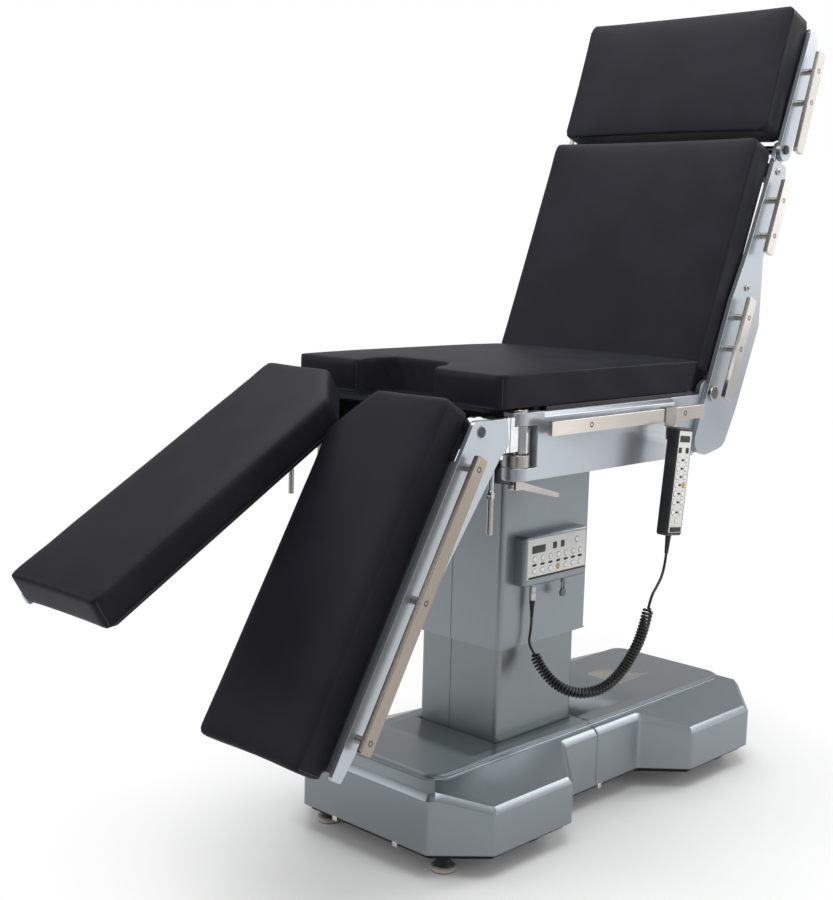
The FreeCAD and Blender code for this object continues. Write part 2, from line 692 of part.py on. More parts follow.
def seat_beam():
    """Left side beam: a channel with two lugs for the leg swivel and a recess for the back plate."""
    profile = sheet_xz(
        [
            (BEAM_FRONT_X, BEAM_BOTTOM), (BACK_HINGE_X - 10, BEAM_BOTTOM, 30),
            (BACK_HINGE_X - 10, BEAM_TOP), (BEAM_FRONT_X, BEAM_TOP),
        ],
        -BEAM_OUTER_Y, -BEAM_INNER_Y,
    )
    top_edge = [
        e for e in profile.Edges
        if e.BoundBox.ZMin > BEAM_TOP - 0.01 and e.BoundBox.YMax < -BEAM_OUTER_Y + 0.01
    ]
    beam = profile.makeChamfer(BEAM_CHAMFER, top_edge)
    recess_y = BEAM_OUTER_Y - SIDE_PLATE - SIDE_GAP
    boss = rod(
        (BACK_HINGE_X, -recess_y, BACK_HINGE_Z), (BACK_HINGE_X, -BEAM_INNER_Y, BACK_HINGE_Z),
        HINGE_BOSS_RADIUS,
    )
    pieces = [beam, boss]
    for low in (BEAM_BOTTOM, UPPER_LUG_BOTTOM):
        pieces.append(rod(
            (SWIVEL_X, -SWIVEL_Y, low), (SWIVEL_X, -SWIVEL_Y, low + LUG_THICKNESS), LUG_RADIUS
        ))
        pieces.append(box(
            (SWIVEL_X, LUG_REAR_X), (-SWIVEL_Y - LUG_RADIUS, -SWIVEL_Y + LUG_RADIUS),
            (low, low + LUG_THICKNESS),
        ))
    beam = fused(pieces)
    swing = rod(
        (BACK_HINGE_X, -BEAM_OUTER_Y - 1, BACK_HINGE_Z), (BACK_HINGE_X, -recess_y, BACK_HINGE_Z),
        SWING_RADIUS,
    )
    pocket = box(
        (LUG_REAR_X + 5, BACK_HINGE_X - SWING_RADIUS - BEAM_WEB),
        (-BEAM_OUTER_Y + BEAM_WEB, -BEAM_INNER_Y + 1),
        (BEAM_BOTTOM + BEAM_FLANGE, BEAM_TOP - BEAM_FLANGE),
    )
    beam = beam.cut(swing).cut(pocket)
    beam = beam.cut(rod(
        (SWIVEL_X, -SWIVEL_Y, BEAM_BOTTOM - 1),
        (SWIVEL_X, -SWIVEL_Y, UPPER_LUG_BOTTOM + LUG_THICKNESS + 1), ROD_RADIUS,
    ))
    return beam.cut(rod(
        (BACK_HINGE_X, -BEAM_OUTER_Y, BACK_HINGE_Z), (BACK_HINGE_X, -BEAM_INNER_Y + 1, BACK_HINGE_Z),
        HINGE_PIN_RADIUS - RUNNING_GAP,
    ))


def back_hinge_pin():
    """Shouldered pin of the back hinge, its head outside the back plate."""
    head = rod(
        (BACK_HINGE_X, -BEAM_OUTER_Y - SIDE_GAP - HINGE_HEAD, BACK_HINGE_Z),
        (BACK_HINGE_X, -BEAM_OUTER_Y - SIDE_GAP, BACK_HINGE_Z), HINGE_HEAD_RADIUS,
    )
    outer_edge = [e for e in head.Edges if e.BoundBox.YMax < -BEAM_OUTER_Y - SIDE_GAP - HINGE_HEAD + 0.01]
    head = head.makeFillet(2.0, outer_edge)
    shank = rod(
        (BACK_HINGE_X, -BEAM_OUTER_Y - SIDE_GAP, BACK_HINGE_Z),
        (BACK_HINGE_X, -BEAM_INNER_Y, BACK_HINGE_Z), HINGE_PIN_RADIUS - RUNNING_GAP,
    )
    return fused([head, shank])


def bevel_x(z):
    """Rear face of the seat cushion at a height: it leans back like the raised back cushion."""
    return SEAT_REAR_X - (SEAT_TOP - z) / math.tan(math.radians(BACK_ANGLE))


def seat_cushion():
    """Seat cushion with the perineal cut-out in its leg-end edge and a bevelled rear end."""
    bottom = BEAM_TOP + BOARD
    deep = SEAT_FRONT_X + CUTOUT_DEPTH
    plan = sheet_xy(
        [
            (SEAT_FRONT_X, -CUSHION_HALF_WIDTH, CUSHION_CORNER),
            (SEAT_REAR_X, -CUSHION_HALF_WIDTH, 0), (SEAT_REAR_X, CUSHION_HALF_WIDTH, 0),
            (SEAT_FRONT_X, CUSHION_HALF_WIDTH, CUSHION_CORNER),
            (SEAT_FRONT_X, CUTOUT_HALF_WIDTH, CUSHION_CORNER),
            (deep, CUTOUT_HALF_WIDTH - 10, CUTOUT_CORNER),
            (deep, -CUTOUT_HALF_WIDTH + 10, CUTOUT_CORNER),
            (SEAT_FRONT_X, -CUTOUT_HALF_WIDTH, CUSHION_CORNER),
        ],
        bottom, SEAT_TOP,
    )
    side = sheet_xz(
        [
            (SEAT_FRONT_X, bottom), (bevel_x(bottom), bottom), (SEAT_REAR_X, SEAT_TOP),
            (SEAT_FRONT_X, SEAT_TOP),
        ],
        -CUSHION_HALF_WIDTH, CUSHION_HALF_WIDTH,
    )
    return plan.common(side)


def seat_board():
    """Board under the seat cushion."""
    front = SEAT_FRONT_X + BOARD
    deep = SEAT_FRONT_X + CUTOUT_DEPTH + BOARD
    notch_x = LUG_REAR_X + NOTCH_GAP
    notch_y = SWIVEL_Y - LUG_RADIUS - NOTCH_GAP
    return sheet_xy(
        [
            (front, -notch_y, 6), (notch_x, -notch_y, 6), (notch_x, -BOARD_HALF_WIDTH, 4),
            (SEAT_BOARD_REAR_X, -BOARD_HALF_WIDTH, 6), (SEAT_BOARD_REAR_X, BOARD_HALF_WIDTH, 6),
            (notch_x, BOARD_HALF_WIDTH, 4), (notch_x, notch_y, 6), (front, notch_y, 6),
            (front, CUTOUT_HALF_WIDTH + BOARD, 6), (deep, CUTOUT_HALF_WIDTH - 2, CUTOUT_CORNER),
            (deep, -CUTOUT_HALF_WIDTH + 2, CUTOUT_CORNER), (front, -CUTOUT_HALF_WIDTH - BOARD, 6),
        ],
        BEAM_TOP, BEAM_TOP + BOARD,
    )


def rail(start, end, centre):
    """Accessory rail along X on the left side."""
    low = centre - RAIL_HEIGHT / 2
    high = centre + RAIL_HEIGHT / 2
    return sheet_xz(
        [(start, low), (end, low), (end, high), (start, high)],
        -RAIL_OUTER_Y, -RAIL_OUTER_Y + RAIL_THICKNESS, RAIL_CORNER,
    )


def post(x, z):
    """Distance post between a side plate and a rail on the left side."""
    return rod((x, -RAIL_OUTER_Y + RAIL_THICKNESS, z), (x, -BEAM_OUTER_Y, z), POST_RADIUS)


def crown_teeth(z, up):
    """Ring of small wedge teeth round the swivel axis, pointing up or down."""
    teeth = []
    step = 360.0 / CROWN_TEETH
    tip = z + CROWN_TOOTH * up
    middle = (SLEEVE_RADIUS + ROD_RADIUS) / 2
    width = math.pi * SLEEVE_RADIUS / CROWN_TEETH * 0.5
    for i in range(CROWN_TEETH):
        angle = math.radians(step * i)
        wedge = Part.makePolygon([
            Vector(SWIVEL_X + SLEEVE_RADIUS - 0.6, -SWIVEL_Y - width, z),
            Vector(SWIVEL_X + SLEEVE_RADIUS - 0.6, -SWIVEL_Y + width, z),
            Vector(SWIVEL_X + SLEEVE_RADIUS - 0.6, -SWIVEL_Y, tip),
            Vector(SWIVEL_X + SLEEVE_RADIUS - 0.6, -SWIVEL_Y - width, z),
        ])
        tooth = Part.Face(wedge).extrude(Vector(middle - SLEEVE_RADIUS, 0, 0))
        tooth.rotate(Vector(SWIVEL_X, -SWIVEL_Y, z), Vector(0, 0, 1), math.degrees(angle))
        teeth.append(tooth)
    return teeth


def crown_ring():
    """Fixed half of the crown coupling, on the lower lug."""
    bottom = BEAM_BOTTOM + LUG_THICKNESS
    top = bottom + RING_HEIGHT
    ring = rod((SWIVEL_X, -SWIVEL_Y, bottom), (SWIVEL_X, -SWIVEL_Y, top), RING_RADIUS)
    ring = ring.makeFillet(1.5, ring.Edges)
    ring = fused([ring] + crown_teeth(top, 1))
    return ring.cut(rod((SWIVEL_X, -SWIVEL_Y, bottom - 1), (SWIVEL_X, -SWIVEL_Y, top + 5), ROD_RADIUS))


def clamp_rod():
    """Tie rod through both lugs, with a cap on top and the cam clevis below."""
    top = UPPER_LUG_BOTTOM + LUG_THICKNESS
    low = BEAM_BOTTOM
    shaft = rod((SWIVEL_X, -SWIVEL_Y, low), (SWIVEL_X, -SWIVEL_Y, top), ROD_RADIUS)
    cap = rod((SWIVEL_X, -SWIVEL_Y, top), (SWIVEL_X, -SWIVEL_Y, top + ROD_CAP), ROD_CAP_RADIUS)
    cap = cap.makeFillet(1.5, [e for e in cap.Edges if e.BoundBox.ZMin > top + ROD_CAP - 0.01])
    clevis = box(
        (SWIVEL_X - CLEVIS_HALF, SWIVEL_X + CLEVIS_HALF), (-SWIVEL_Y - CLEVIS_HALF, -SWIVEL_Y + CLEVIS_HALF),
        (low - CLEVIS_DROP, low),
    )
    clevis = clevis.makeFillet(2.0, [e for e in clevis.Edges if e.BoundBox.ZMax < low - 0.01])
    slot = box(
        (SWIVEL_X - CLEVIS_HALF - 1, SWIVEL_X + CLEVIS_HALF + 1),
        (-SWIVEL_Y - CLEVIS_SLOT / 2, -SWIVEL_Y + CLEVIS_SLOT / 2), (low - CLEVIS_DROP - 1, low + 0.5),
    )
    pin = rod(
        (SWIVEL_X, -SWIVEL_Y - CLEVIS_HALF + 1, CAM_Z), (SWIVEL_X, -SWIVEL_Y + CLEVIS_HALF - 1, CAM_Z),
        CAM_PIN_RADIUS,
    )
    return fused([fused([shaft, cap, clevis]).cut(slot), pin])


def cam_lever():
    """Cam lever that pulls the tie rod down and locks the crown coupling."""
    half = CLEVIS_SLOT / 2 - 0.3
    low, high = -SWIVEL_Y - half, -SWIVEL_Y + half
    tip = (SWIVEL_X + LEVER_LENGTH, CAM_Z - LEVER_DROP)
    slope = math.atan2(-LEVER_DROP, LEVER_LENGTH)
    side = (-math.sin(slope), math.cos(slope))
    root = CAM_RADIUS * 0.8
    arm = sheet_xz(
        [
            (SWIVEL_X + side[0] * root, CAM_Z + side[1] * root),
            (SWIVEL_X - side[0] * root, CAM_Z - side[1] * root),
            (tip[0] - side[0] * LEVER_TIP_RADIUS, tip[1] - side[1] * LEVER_TIP_RADIUS),
            (tip[0] + side[0] * LEVER_TIP_RADIUS, tip[1] + side[1] * LEVER_TIP_RADIUS),
        ],
        low, high,
    )
    cam = rod((SWIVEL_X, low, CAM_Z), (SWIVEL_X, high, CAM_Z), CAM_RADIUS - 1.5)
    end = rod((tip[0], low, tip[1]), (tip[0], high, tip[1]), LEVER_TIP_RADIUS)
    lever = fused([arm, cam, end])
    clear = rod((SWIVEL_X, low - 1, CAM_Z), (SWIVEL_X, high + 1, CAM_Z), CAM_PIN_RADIUS + RUNNING_GAP)
    return lever.cut(clear)


def swivel_arm():
    """Sleeve on the tie rod with the ridged block and the arm that carries the pitch pin."""
    bottom = BEAM_BOTTOM + LUG_THICKNESS + RING_HEIGHT + CROWN_TOOTH * 2 + CROWN_GAP
    top = UPPER_LUG_BOTTOM - SLEEVE_TOP_GAP
    sleeve = rod((SWIVEL_X, -SWIVEL_Y, bottom), (SWIVEL_X, -SWIVEL_Y, top), SLEEVE_RADIUS)
    low_block = box((BLOCK_FRONT_X, SWIVEL_X), (-ARM_OUTER_Y, -BLOCK_INNER_Y), (BLOCK_BOTTOM, top))
    high_block = box((BLOCK_FRONT_X, BLOCK_REAR_X), (-ARM_OUTER_Y, -BLOCK_INNER_Y), (top - 1, BLOCK_TOP))
    arm = sheet_xz(
        [
            (PITCH_X, PITCH_Z - PITCH_DISC_RADIUS * 0.95), (BLOCK_FRONT_X + 1, ARM_BOTTOM),
            (BLOCK_FRONT_X + 1, ARM_TOP), (PITCH_X, PITCH_Z + PITCH_DISC_RADIUS * 0.95),
        ],
        -ARM_OUTER_Y, -ARM_INNER_Y,
    )
    disc = rod((PITCH_X, -ARM_OUTER_Y, PITCH_Z), (PITCH_X, -ARM_INNER_Y, PITCH_Z), PITCH_DISC_RADIUS)
    pin = rod(
        (PITCH_X, -BEAM_OUTER_Y - 1, PITCH_Z), (PITCH_X, -ARM_INNER_Y, PITCH_Z),
        PITCH_PIN_RADIUS - RUNNING_GAP,
    )
    body = fused([sleeve, low_block, high_block, arm, disc, pin])
    pitch = (BLOCK_REAR_X - BLOCK_FRONT_X) / BLOCK_RIDGES
    for i in range(BLOCK_RIDGES - 1):
        x = BLOCK_FRONT_X + pitch * (i + 1)
        body = body.cut(box(
            (x - 1.0, x + 1.0), (-ARM_OUTER_Y - 1, -ARM_OUTER_Y + BLOCK_RIDGE),
            (BLOCK_BOTTOM - 1, BLOCK_TOP + 1),
        ))
    body = fused([body] + crown_teeth(bottom, -1))
    bore = rod((SWIVEL_X, -SWIVEL_Y, bottom - 5), (SWIVEL_X, -SWIVEL_Y, top + 1), ROD_RADIUS + RUNNING_GAP)
    body = body.cut(bore)
    spindle = rod(
        (SPINDLE_X, -SPINDLE_Y, ELBOW_Z + SPINDLE_RADIUS + 2), (SPINDLE_X, -SPINDLE_Y, ARM_BOTTOM + 5),
        SPINDLE_RADIUS,
    )
    tongue = box(
        (SPINDLE_X - SPINDLE_RADIUS + 0.5, SPINDLE_X + SPINDLE_RADIUS - 0.5),
        (-SPINDLE_Y - TONGUE / 2, -SPINDLE_Y + TONGUE / 2), (ELBOW_Z, ELBOW_Z + SPINDLE_RADIUS + 3),
    )
    eye = rod(
        (SPINDLE_X, -SPINDLE_Y - TONGUE / 2, ELBOW_Z), (SPINDLE_X, -SPINDLE_Y + TONGUE / 2, ELBOW_Z),
        SPINDLE_RADIUS - 0.5,
    )
    hole = rod(
        (SPINDLE_X, -SPINDLE_Y - TONGUE, ELBOW_Z), (SPINDLE_X, -SPINDLE_Y + TONGUE, ELBOW_Z),
        ELBOW_PIN_RADIUS + RUNNING_GAP,
    )
    return fused([body, fused([spindle, tongue, eye]).cut(hole)])


def lock_handle():
    """Hanging grip of the pitch lock, forked over the spindle's eye."""
    radius = SPINDLE_RADIUS
    grip = rod((SPINDLE_X, -SPINDLE_Y, HANDLE_BOTTOM), (SPINDLE_X, -SPINDLE_Y, ELBOW_Z - radius - 1), radius)
    grip = grip.makeFillet(1.5, [e for e in grip.Edges if e.BoundBox.ZMax < HANDLE_BOTTOM + 0.01])
    pieces = [grip]
    inner = TONGUE / 2 + TONGUE_GAP
    for side in (-1, 1):
        ends = sorted((-SPINDLE_Y + side * inner, -SPINDLE_Y + side * (radius - 0.2)))
        pieces.append(rod((SPINDLE_X, ends[0], ELBOW_Z), (SPINDLE_X, ends[1], ELBOW_Z), radius - 0.8))
        pieces.append(box(
            (SPINDLE_X - radius + 1.4, SPINDLE_X + radius - 1.4), (ends[0], ends[1]),
            (ELBOW_Z - radius - 2, ELBOW_Z),
        ))
    pin = rod(
        (SPINDLE_X, -SPINDLE_Y - radius + 0.5, ELBOW_Z), (SPINDLE_X, -SPINDLE_Y + radius - 0.5, ELBOW_Z),
        ELBOW_PIN_RADIUS,
    )
    return fused(pieces + [pin])


def leg_cushion():
    """Leg cushion, level: inner corner cut off beside the seat's cut-out."""
    return sheet_xy(
        [
            (LEG_START, -LEG_OUTER_Y, CUSHION_CORNER), (LEG_START, -LEG_INNER_Y - LEG_CHAMFER_ACROSS, 20),
            (LEG_START - LEG_CHAMFER_ALONG, -LEG_INNER_Y, 20), (LEG_END, -LEG_INNER_Y, CUSHION_CORNER),
            (LEG_END, -LEG_OUTER_Y, CUSHION_CORNER),
        ],
        LEG_FACE - LEG_CUSHION, LEG_FACE,
    )


def leg_board():
    """Board under the leg cushion, level."""
    inset = LEG_BOARD_INSET
    top = LEG_FACE - LEG_CUSHION
    return sheet_xy(
        [
            (LEG_START - inset, -BOARD_HALF_WIDTH, 8),
            (LEG_START - inset, -LEG_INNER_Y - LEG_CHAMFER_ACROSS - inset / 2, 20),
            (LEG_START - LEG_CHAMFER_ALONG - inset / 2, -LEG_INNER_Y - inset, 20),
            (LEG_END + inset, -LEG_INNER_Y - inset, 10), (LEG_END + inset, -BOARD_HALF_WIDTH, 10),
        ],
        top - BOARD, top,
    )


def leg_plate():
    """Tapering side plate of a leg section with the flange that carries the board, level."""
    inner = -BEAM_OUTER_Y + LEG_PLATE
    edge = LEG_FACE - LEG_CUSHION + LEG_PLATE_RISE
    end = LEG_END + LEG_PLATE_INSET
    plate = sheet_xz(
        [
            (LEG_PLATE_START, edge, 12), (end, edge, 6), (end, 0, 6),
            LEG_PLATE_LOW[0] + (10,), LEG_PLATE_LOW[1] + (10,), LEG_PLATE_LOW[2] + (8,),
        ],
        -BEAM_OUTER_Y, inner,
    )
    top = LEG_FACE - LEG_CUSHION - BOARD
    flange = box(
        (LEG_FLANGE_START, LEG_END + 12), (inner - 1, -LEG_FLANGE_INNER_Y), (top - LEG_FLANGE, top)
    )
    bore = rod((0, -BEAM_OUTER_Y - 1, 0), (0, inner + 1, 0), PITCH_PIN_RADIUS)
    return fused([plate, flange]).cut(bore)


def back_plate():
    """Left side plate of the back section, level: lever end round the hinge and an inner head lug."""
    outer = -BEAM_OUTER_Y
    inner = -BEAM_OUTER_Y + SIDE_PLATE
    plate = sheet_xz(
        [(x, z, corner) for (x, z), corner in zip(BACK_PLATE, BACK_PLATE_CORNERS)], outer, inner,
    )
    arm = sheet_xz(
        [
            (HEAD_LUG_START, -HEAD_HINGE_BELOW - HEAD_LUG_RADIUS, 4),
            (HEAD_HINGE_ALONG, -HEAD_HINGE_BELOW - HEAD_LUG_RADIUS),
            (HEAD_HINGE_ALONG, -HEAD_HINGE_BELOW + HEAD_LUG_RADIUS),
            (HEAD_LUG_START, -HEAD_HINGE_BELOW + HEAD_LUG_RADIUS, 4),
        ],
        inner, inner + HEAD_LUG_THICKNESS,
    )
    lug = rod(
        (HEAD_HINGE_ALONG, inner, -HEAD_HINGE_BELOW),
        (HEAD_HINGE_ALONG, inner + HEAD_LUG_THICKNESS, -HEAD_HINGE_BELOW), HEAD_LUG_RADIUS,
    )
    whole = fused([plate, arm, lug])
    whole = whole.cut(rod((0, outer - 1, 0), (0, inner + 1, 0), HINGE_PIN_RADIUS))
    return whole.cut(rod(
        (HEAD_HINGE_ALONG, inner - 1, -HEAD_HINGE_BELOW),
        (HEAD_HINGE_ALONG, inner + HEAD_LUG_THICKNESS + 1, -HEAD_HINGE_BELOW), HEAD_BAR_RADIUS,
    ))


def back_cross_members():
    """Two cross bars under the back board; the upper one fits between the head lugs, level."""
    plate_y = BEAM_OUTER_Y - SIDE_PLATE
    top = BACK_FACE - BACK_CUSHION - BOARD
    bars = []
    for x, half_span in zip(BACK_CROSS_X, (plate_y, plate_y - HEAD_LUG_THICKNESS)):
        bars.append(box(
            (x - BACK_CROSS_WIDTH / 2, x + BACK_CROSS_WIDTH / 2), (-half_span, half_span),
            (top - BACK_CROSS_HEIGHT, top),
        ))
    return group(bars)


def back_cushion():
    """Back cushion, level, with its lower corners cut back for the hinges."""
    outline = [
        (BACK_START, -BACK_NOTCH_HALF_WIDTH), (BACK_NOTCH, -BACK_NOTCH_HALF_WIDTH),
        (BACK_NOTCH, -CUSHION_HALF_WIDTH), (BACK_END, -CUSHION_HALF_WIDTH, CUSHION_CORNER),
        (BACK_END, CUSHION_HALF_WIDTH, CUSHION_CORNER), (BACK_NOTCH, CUSHION_HALF_WIDTH),
        (BACK_NOTCH, BACK_NOTCH_HALF_WIDTH), (BACK_START, BACK_NOTCH_HALF_WIDTH),
    ]
    return sheet_xy(outline, BACK_FACE - BACK_CUSHION, BACK_FACE)


def back_board():
    """Board under the back cushion, level."""
    top = BACK_FACE - BACK_CUSHION
    end = BACK_END - BOARD
    return sheet_xy(
        [
            (BACK_BOARD_START, -BOARD_HALF_WIDTH), (end, -BOARD_HALF_WIDTH),
            (end, BOARD_HALF_WIDTH), (BACK_BOARD_START, BOARD_HALF_WIDTH),
        ],
        top - BOARD, top, 6,
    )


def back_rails():
    """Long and short rail of the back section on both sides, level."""
    return pair(group([rail(*BACK_LONG_RAIL), rail(*BACK_SHORT_RAIL)]))


def back_rail_posts():
    """Posts of the back rails, level."""
    posts = [post(x, BACK_LONG_RAIL[2]) for x in BACK_LONG_POSTS]
    posts += [post(x, BACK_SHORT_RAIL[2]) for x in BACK_SHORT_POSTS]
    return pair(group(posts))


def head_plate():
    """Left side plate of the head section with its board flange, level."""
    outer = -BEAM_OUTER_Y
    inner = outer + SIDE_PLATE - 1
    top = HEAD_FACE - HEAD_CUSHION - BOARD
    plate = sheet_xz(
        [(0, -HEAD_LUG)]
        + [(x, z, corner) for (x, z), corner in zip(HEAD_PLATE_END, HEAD_PLATE_CORNERS)]
        + [(0, HEAD_LUG)],
        outer, inner,
    )
    lug = rod((0, outer, 0), (0, inner, 0), HEAD_LUG)
    flange = box(
        (HEAD_FLANGE_START, HEAD_END - 2 * BOARD), (inner - 1, -LEG_FLANGE_INNER_Y),
        (top - HEAD_FLANGE, top),
    )
    bore = rod((0, outer - 1, 0), (0, inner + 1, 0), HEAD_BAR_RADIUS + RUNNING_GAP)
    return fused([plate, lug, flange]).cut(bore)


def head_hinge_bar():
    """Round bar through both head lugs, level in the back section's frame."""
    reach = BEAM_OUTER_Y + HEAD_BAR_END
    return rod(
        (HEAD_HINGE_ALONG, -reach, -HEAD_HINGE_BELOW), (HEAD_HINGE_ALONG, reach, -HEAD_HINGE_BELOW),
        HEAD_BAR_RADIUS,
    )


def head_cushion():
    """Head cushion, level."""
    half = CUSHION_HALF_WIDTH
    return sheet_xy(
        [(HEAD_START, -half), (HEAD_END, -half), (HEAD_END, half), (HEAD_START, half)],
        HEAD_FACE - HEAD_CUSHION, HEAD_FACE, CUSHION_CORNER,
    )


def head_board():
    """Board under the head cushion, level."""
    half = BOARD_HALF_WIDTH
    top = HEAD_FACE - HEAD_CUSHION
    end = HEAD_END - BOARD
    return sheet_xy(
        [(HEAD_BOARD_START, -half), (end, -half), (end, half), (HEAD_BOARD_START, half)],
        top - BOARD, top, 6,
    )


def head_hinge():
    """Head hinge in the side view, carried along by the raised back section."""
    angle = math.radians(BACK_ANGLE)
    along, below = HEAD_HINGE_ALONG, HEAD_HINGE_BELOW
    return (
        BACK_HINGE_X + along * math.cos(angle) + below * math.sin(angle),
        BACK_HINGE_Z + along * math.sin(angle) - below * math.cos(angle),
    )


def control_box():
    """Wall box on the column with a shallow bed for its keypad and an eye for the dust cap."""
    face = -LOWER_WIDTH / 2 - SLEEVE_GAP - SHEET
    front = face - BOX_DEPTH
    top = BOX_BOTTOM + BOX_HEIGHT
    body = box((BOX_FRONT_X, BOX_REAR_X), (front, face), (BOX_BOTTOM, top))
    edges = [e for e in body.Edges if e.BoundBox.YMin < face - 0.01]
    body = body.makeFillet(BOX_CORNER, edges)
    bed = box(
        (BOX_FRONT_X + KEYPAD_MARGIN, BOX_REAR_X - KEYPAD_MARGIN), (front - 1, front + KEYPAD_RECESS),
        (BOX_BOTTOM + KEYPAD_BOTTOM, top - KEYPAD_MARGIN),
    )
    eye_y = face - BOX_DEPTH * 0.75
    pin_z = BOX_BOTTOM - CAP_PIN_DROP
    eye = box((CAP_X - 2, CAP_X + 2), (eye_y - 2.5, eye_y + 2.5), (pin_z - 2, BOX_BOTTOM))
    pin = rod((CAP_X - CAP_PIN_HALF, eye_y, pin_z), (CAP_X + CAP_PIN_HALF, eye_y, pin_z), CAP_PIN_RADIUS)
    return fused([body.cut(bed), eye, pin])


def dust_cap():
    """Round cap that hangs by two straps from the pin under the control box."""
    face = -LOWER_WIDTH / 2 - SLEEVE_GAP - SHEET
    y = face - BOX_DEPTH * 0.75
    pin_z = BOX_BOTTOM - CAP_PIN_DROP
    cap_z = BOX_BOTTOM - CAP_DROP
    half = CAP_THICKNESS / 2
    pieces = [rod((CAP_X, y - half, cap_z), (CAP_X, y + half, cap_z), CAP_RADIUS)]
    for side in (-1, 1):
        low, high = sorted((CAP_X + side * CAP_STRAP_GAP, CAP_X + side * (CAP_STRAP_GAP + CAP_STRAP)))
        ring = rod((low, y, pin_z), (high, y, pin_z), CAP_PIN_RADIUS + 1.2)
        strap = box((low, high), (y - 1, y + 1), (cap_z, pin_z))
        pieces += [ring, strap]
    reach = CAP_PIN_HALF + 1
    bore = rod((CAP_X - reach, y, pin_z), (CAP_X + reach, y, pin_z), CAP_PIN_RADIUS + RUNNING_GAP)
    return fused(pieces).cut(bore)


def cord_plug():
    """Metal connector under the control box with its tapered rubber boot."""
    top = BOX_BOTTOM
    mid = top - PLUG_LENGTH
    barrel = rod((PLUG_X, PLUG_Y, mid), (PLUG_X, PLUG_Y, top), PLUG_RADIUS)
    barrel = barrel.makeFillet(1.0, [e for e in barrel.Edges if e.BoundBox.ZMax < mid + 0.01])
    boot = cone((PLUG_X, PLUG_Y, mid), (PLUG_X, PLUG_Y, mid - BOOT_LENGTH), PLUG_RADIUS - 1, CORD_RADIUS + 1)
    return fused([barrel, boot])


def handset():
    """Hand control: a slim leaning box with a shallow bed for its keypad and a cord relief."""
    front = HANDSET_FRONT_Y
    back = HANDSET_FRONT_Y + HANDSET_DEPTH
    bottom = HANDSET_TOP - HANDSET_LENGTH
    half = HANDSET_WIDTH / 2
    body = box((HANDSET_X - half, HANDSET_X + half), (front, back), (bottom, HANDSET_TOP))
    body = body.makeFillet(HANDSET_CORNER, body.Edges)
    bed = box(
        (HANDSET_X - half + HANDSET_MARGIN, HANDSET_X + half - HANDSET_MARGIN),
        (front - 1, front + KEYPAD_RECESS),
        (bottom + HANDSET_MARGIN_END, HANDSET_TOP - HANDSET_MARGIN_END),
    )
    middle = (front + back) / 2
    relief = cone(
        (HANDSET_X, middle, bottom + 1), (HANDSET_X, middle, bottom - RELIEF_LENGTH),
        RELIEF_RADIUS, CORD_RADIUS + 1,
    )
    whole = fused([body.cut(bed), relief])
    whole.rotate(Vector(HANDSET_X, middle, HANDSET_TOP), Vector(0, 1, 0), HANDSET_LEAN)
    return whole


def handset_clip():
    """Sheet hook over the seat rail with the arm that holds the handset."""
    half = CLIP_WIDTH / 2
    rail_top = SEAT_RAIL_Z + RAIL_HEIGHT / 2
    outer = -RAIL_OUTER_Y
    inner = outer + RAIL_THICKNESS
    reach = (HANDSET_X - half, HANDSET_X + half)
    front = box(reach, (outer - CLIP_SHEET, outer), (CLIP_LOW, rail_top + CLIP_SHEET))
    top = box(reach, (outer - CLIP_SHEET, inner + CLIP_SHEET), (rail_top, rail_top + CLIP_SHEET))
    back = box(reach, (inner, inner + CLIP_SHEET), (CLIP_BACK_LOW, rail_top + CLIP_SHEET))
    low = HANDSET_TOP - CLIP_ARM_DROP
    arm = box(
        (HANDSET_X - half + CLIP_ARM_INSET, HANDSET_X + half - CLIP_ARM_INSET), (outer - CLIP_SHEET, outer),
        (low, CLIP_LOW + 6),
    )
    face = HANDSET_FRONT_Y + HANDSET_DEPTH
    stub = box(
        (HANDSET_X - CLIP_STUB_HALF, HANDSET_X + CLIP_STUB_HALF), (face, outer - CLIP_SHEET),
        (low, low + CLIP_STUB),
    )
    return fused([front, top, back, arm, stub])


def route(points, radius, name):
    """Tube along straight runs joined by tangent arcs; prints the arc radii."""
    points = [Vector(*p) for p in points]
    edges = []
    radii = []
    start = points[0]
    length = 0.0
    for i in range(1, len(points) - 1):
        corner = points[i]
        before = points[i - 1] - corner
        after = points[i + 1] - corner
        turn = math.pi - before.getAngle(after)
        bend = 0.45 * min(before.Length, after.Length) / math.tan(turn / 2)
        reach = bend * math.tan(turn / 2)
        before.normalize()
        after.normalize()
        inward = (before + after).normalize()
        middle = corner + inward * (bend / math.cos(turn / 2) - bend)
        first = corner + before * reach
        last = corner + after * reach
        edges.append(Part.LineSegment(start, first).toShape())
        edges.append(Part.Arc(first, middle, last).toShape())
        length += (first - start).Length + bend * turn
        radii.append(round(bend, 1))
        start = last
    edges.append(Part.LineSegment(start, points[-1]).toShape())
    length += (points[-1] - start).Length
    path = Part.Wire(edges)
    along = points[1] - points[0]
    circle = Part.Wire(Part.Circle(points[0], along, radius).toShape())
    tube = path.makePipeShell([circle], True, False)
    expected = math.pi * radius * radius * length
    print(name, "radii", radii, "length", round(length, 1), "volume ratio", round(tube.Volume / expected, 4))
    return tube


def relief_end():
    """Point where the cord leaves the handset's relief, after the handset's lean."""
    lean = math.radians(HANDSET_LEAN)
    drop = HANDSET_LENGTH + RELIEF_LENGTH
    middle = HANDSET_FRONT_Y + HANDSET_DEPTH / 2
    return (HANDSET_X - drop * math.sin(lean), middle, HANDSET_TOP - drop * math.cos(lean))


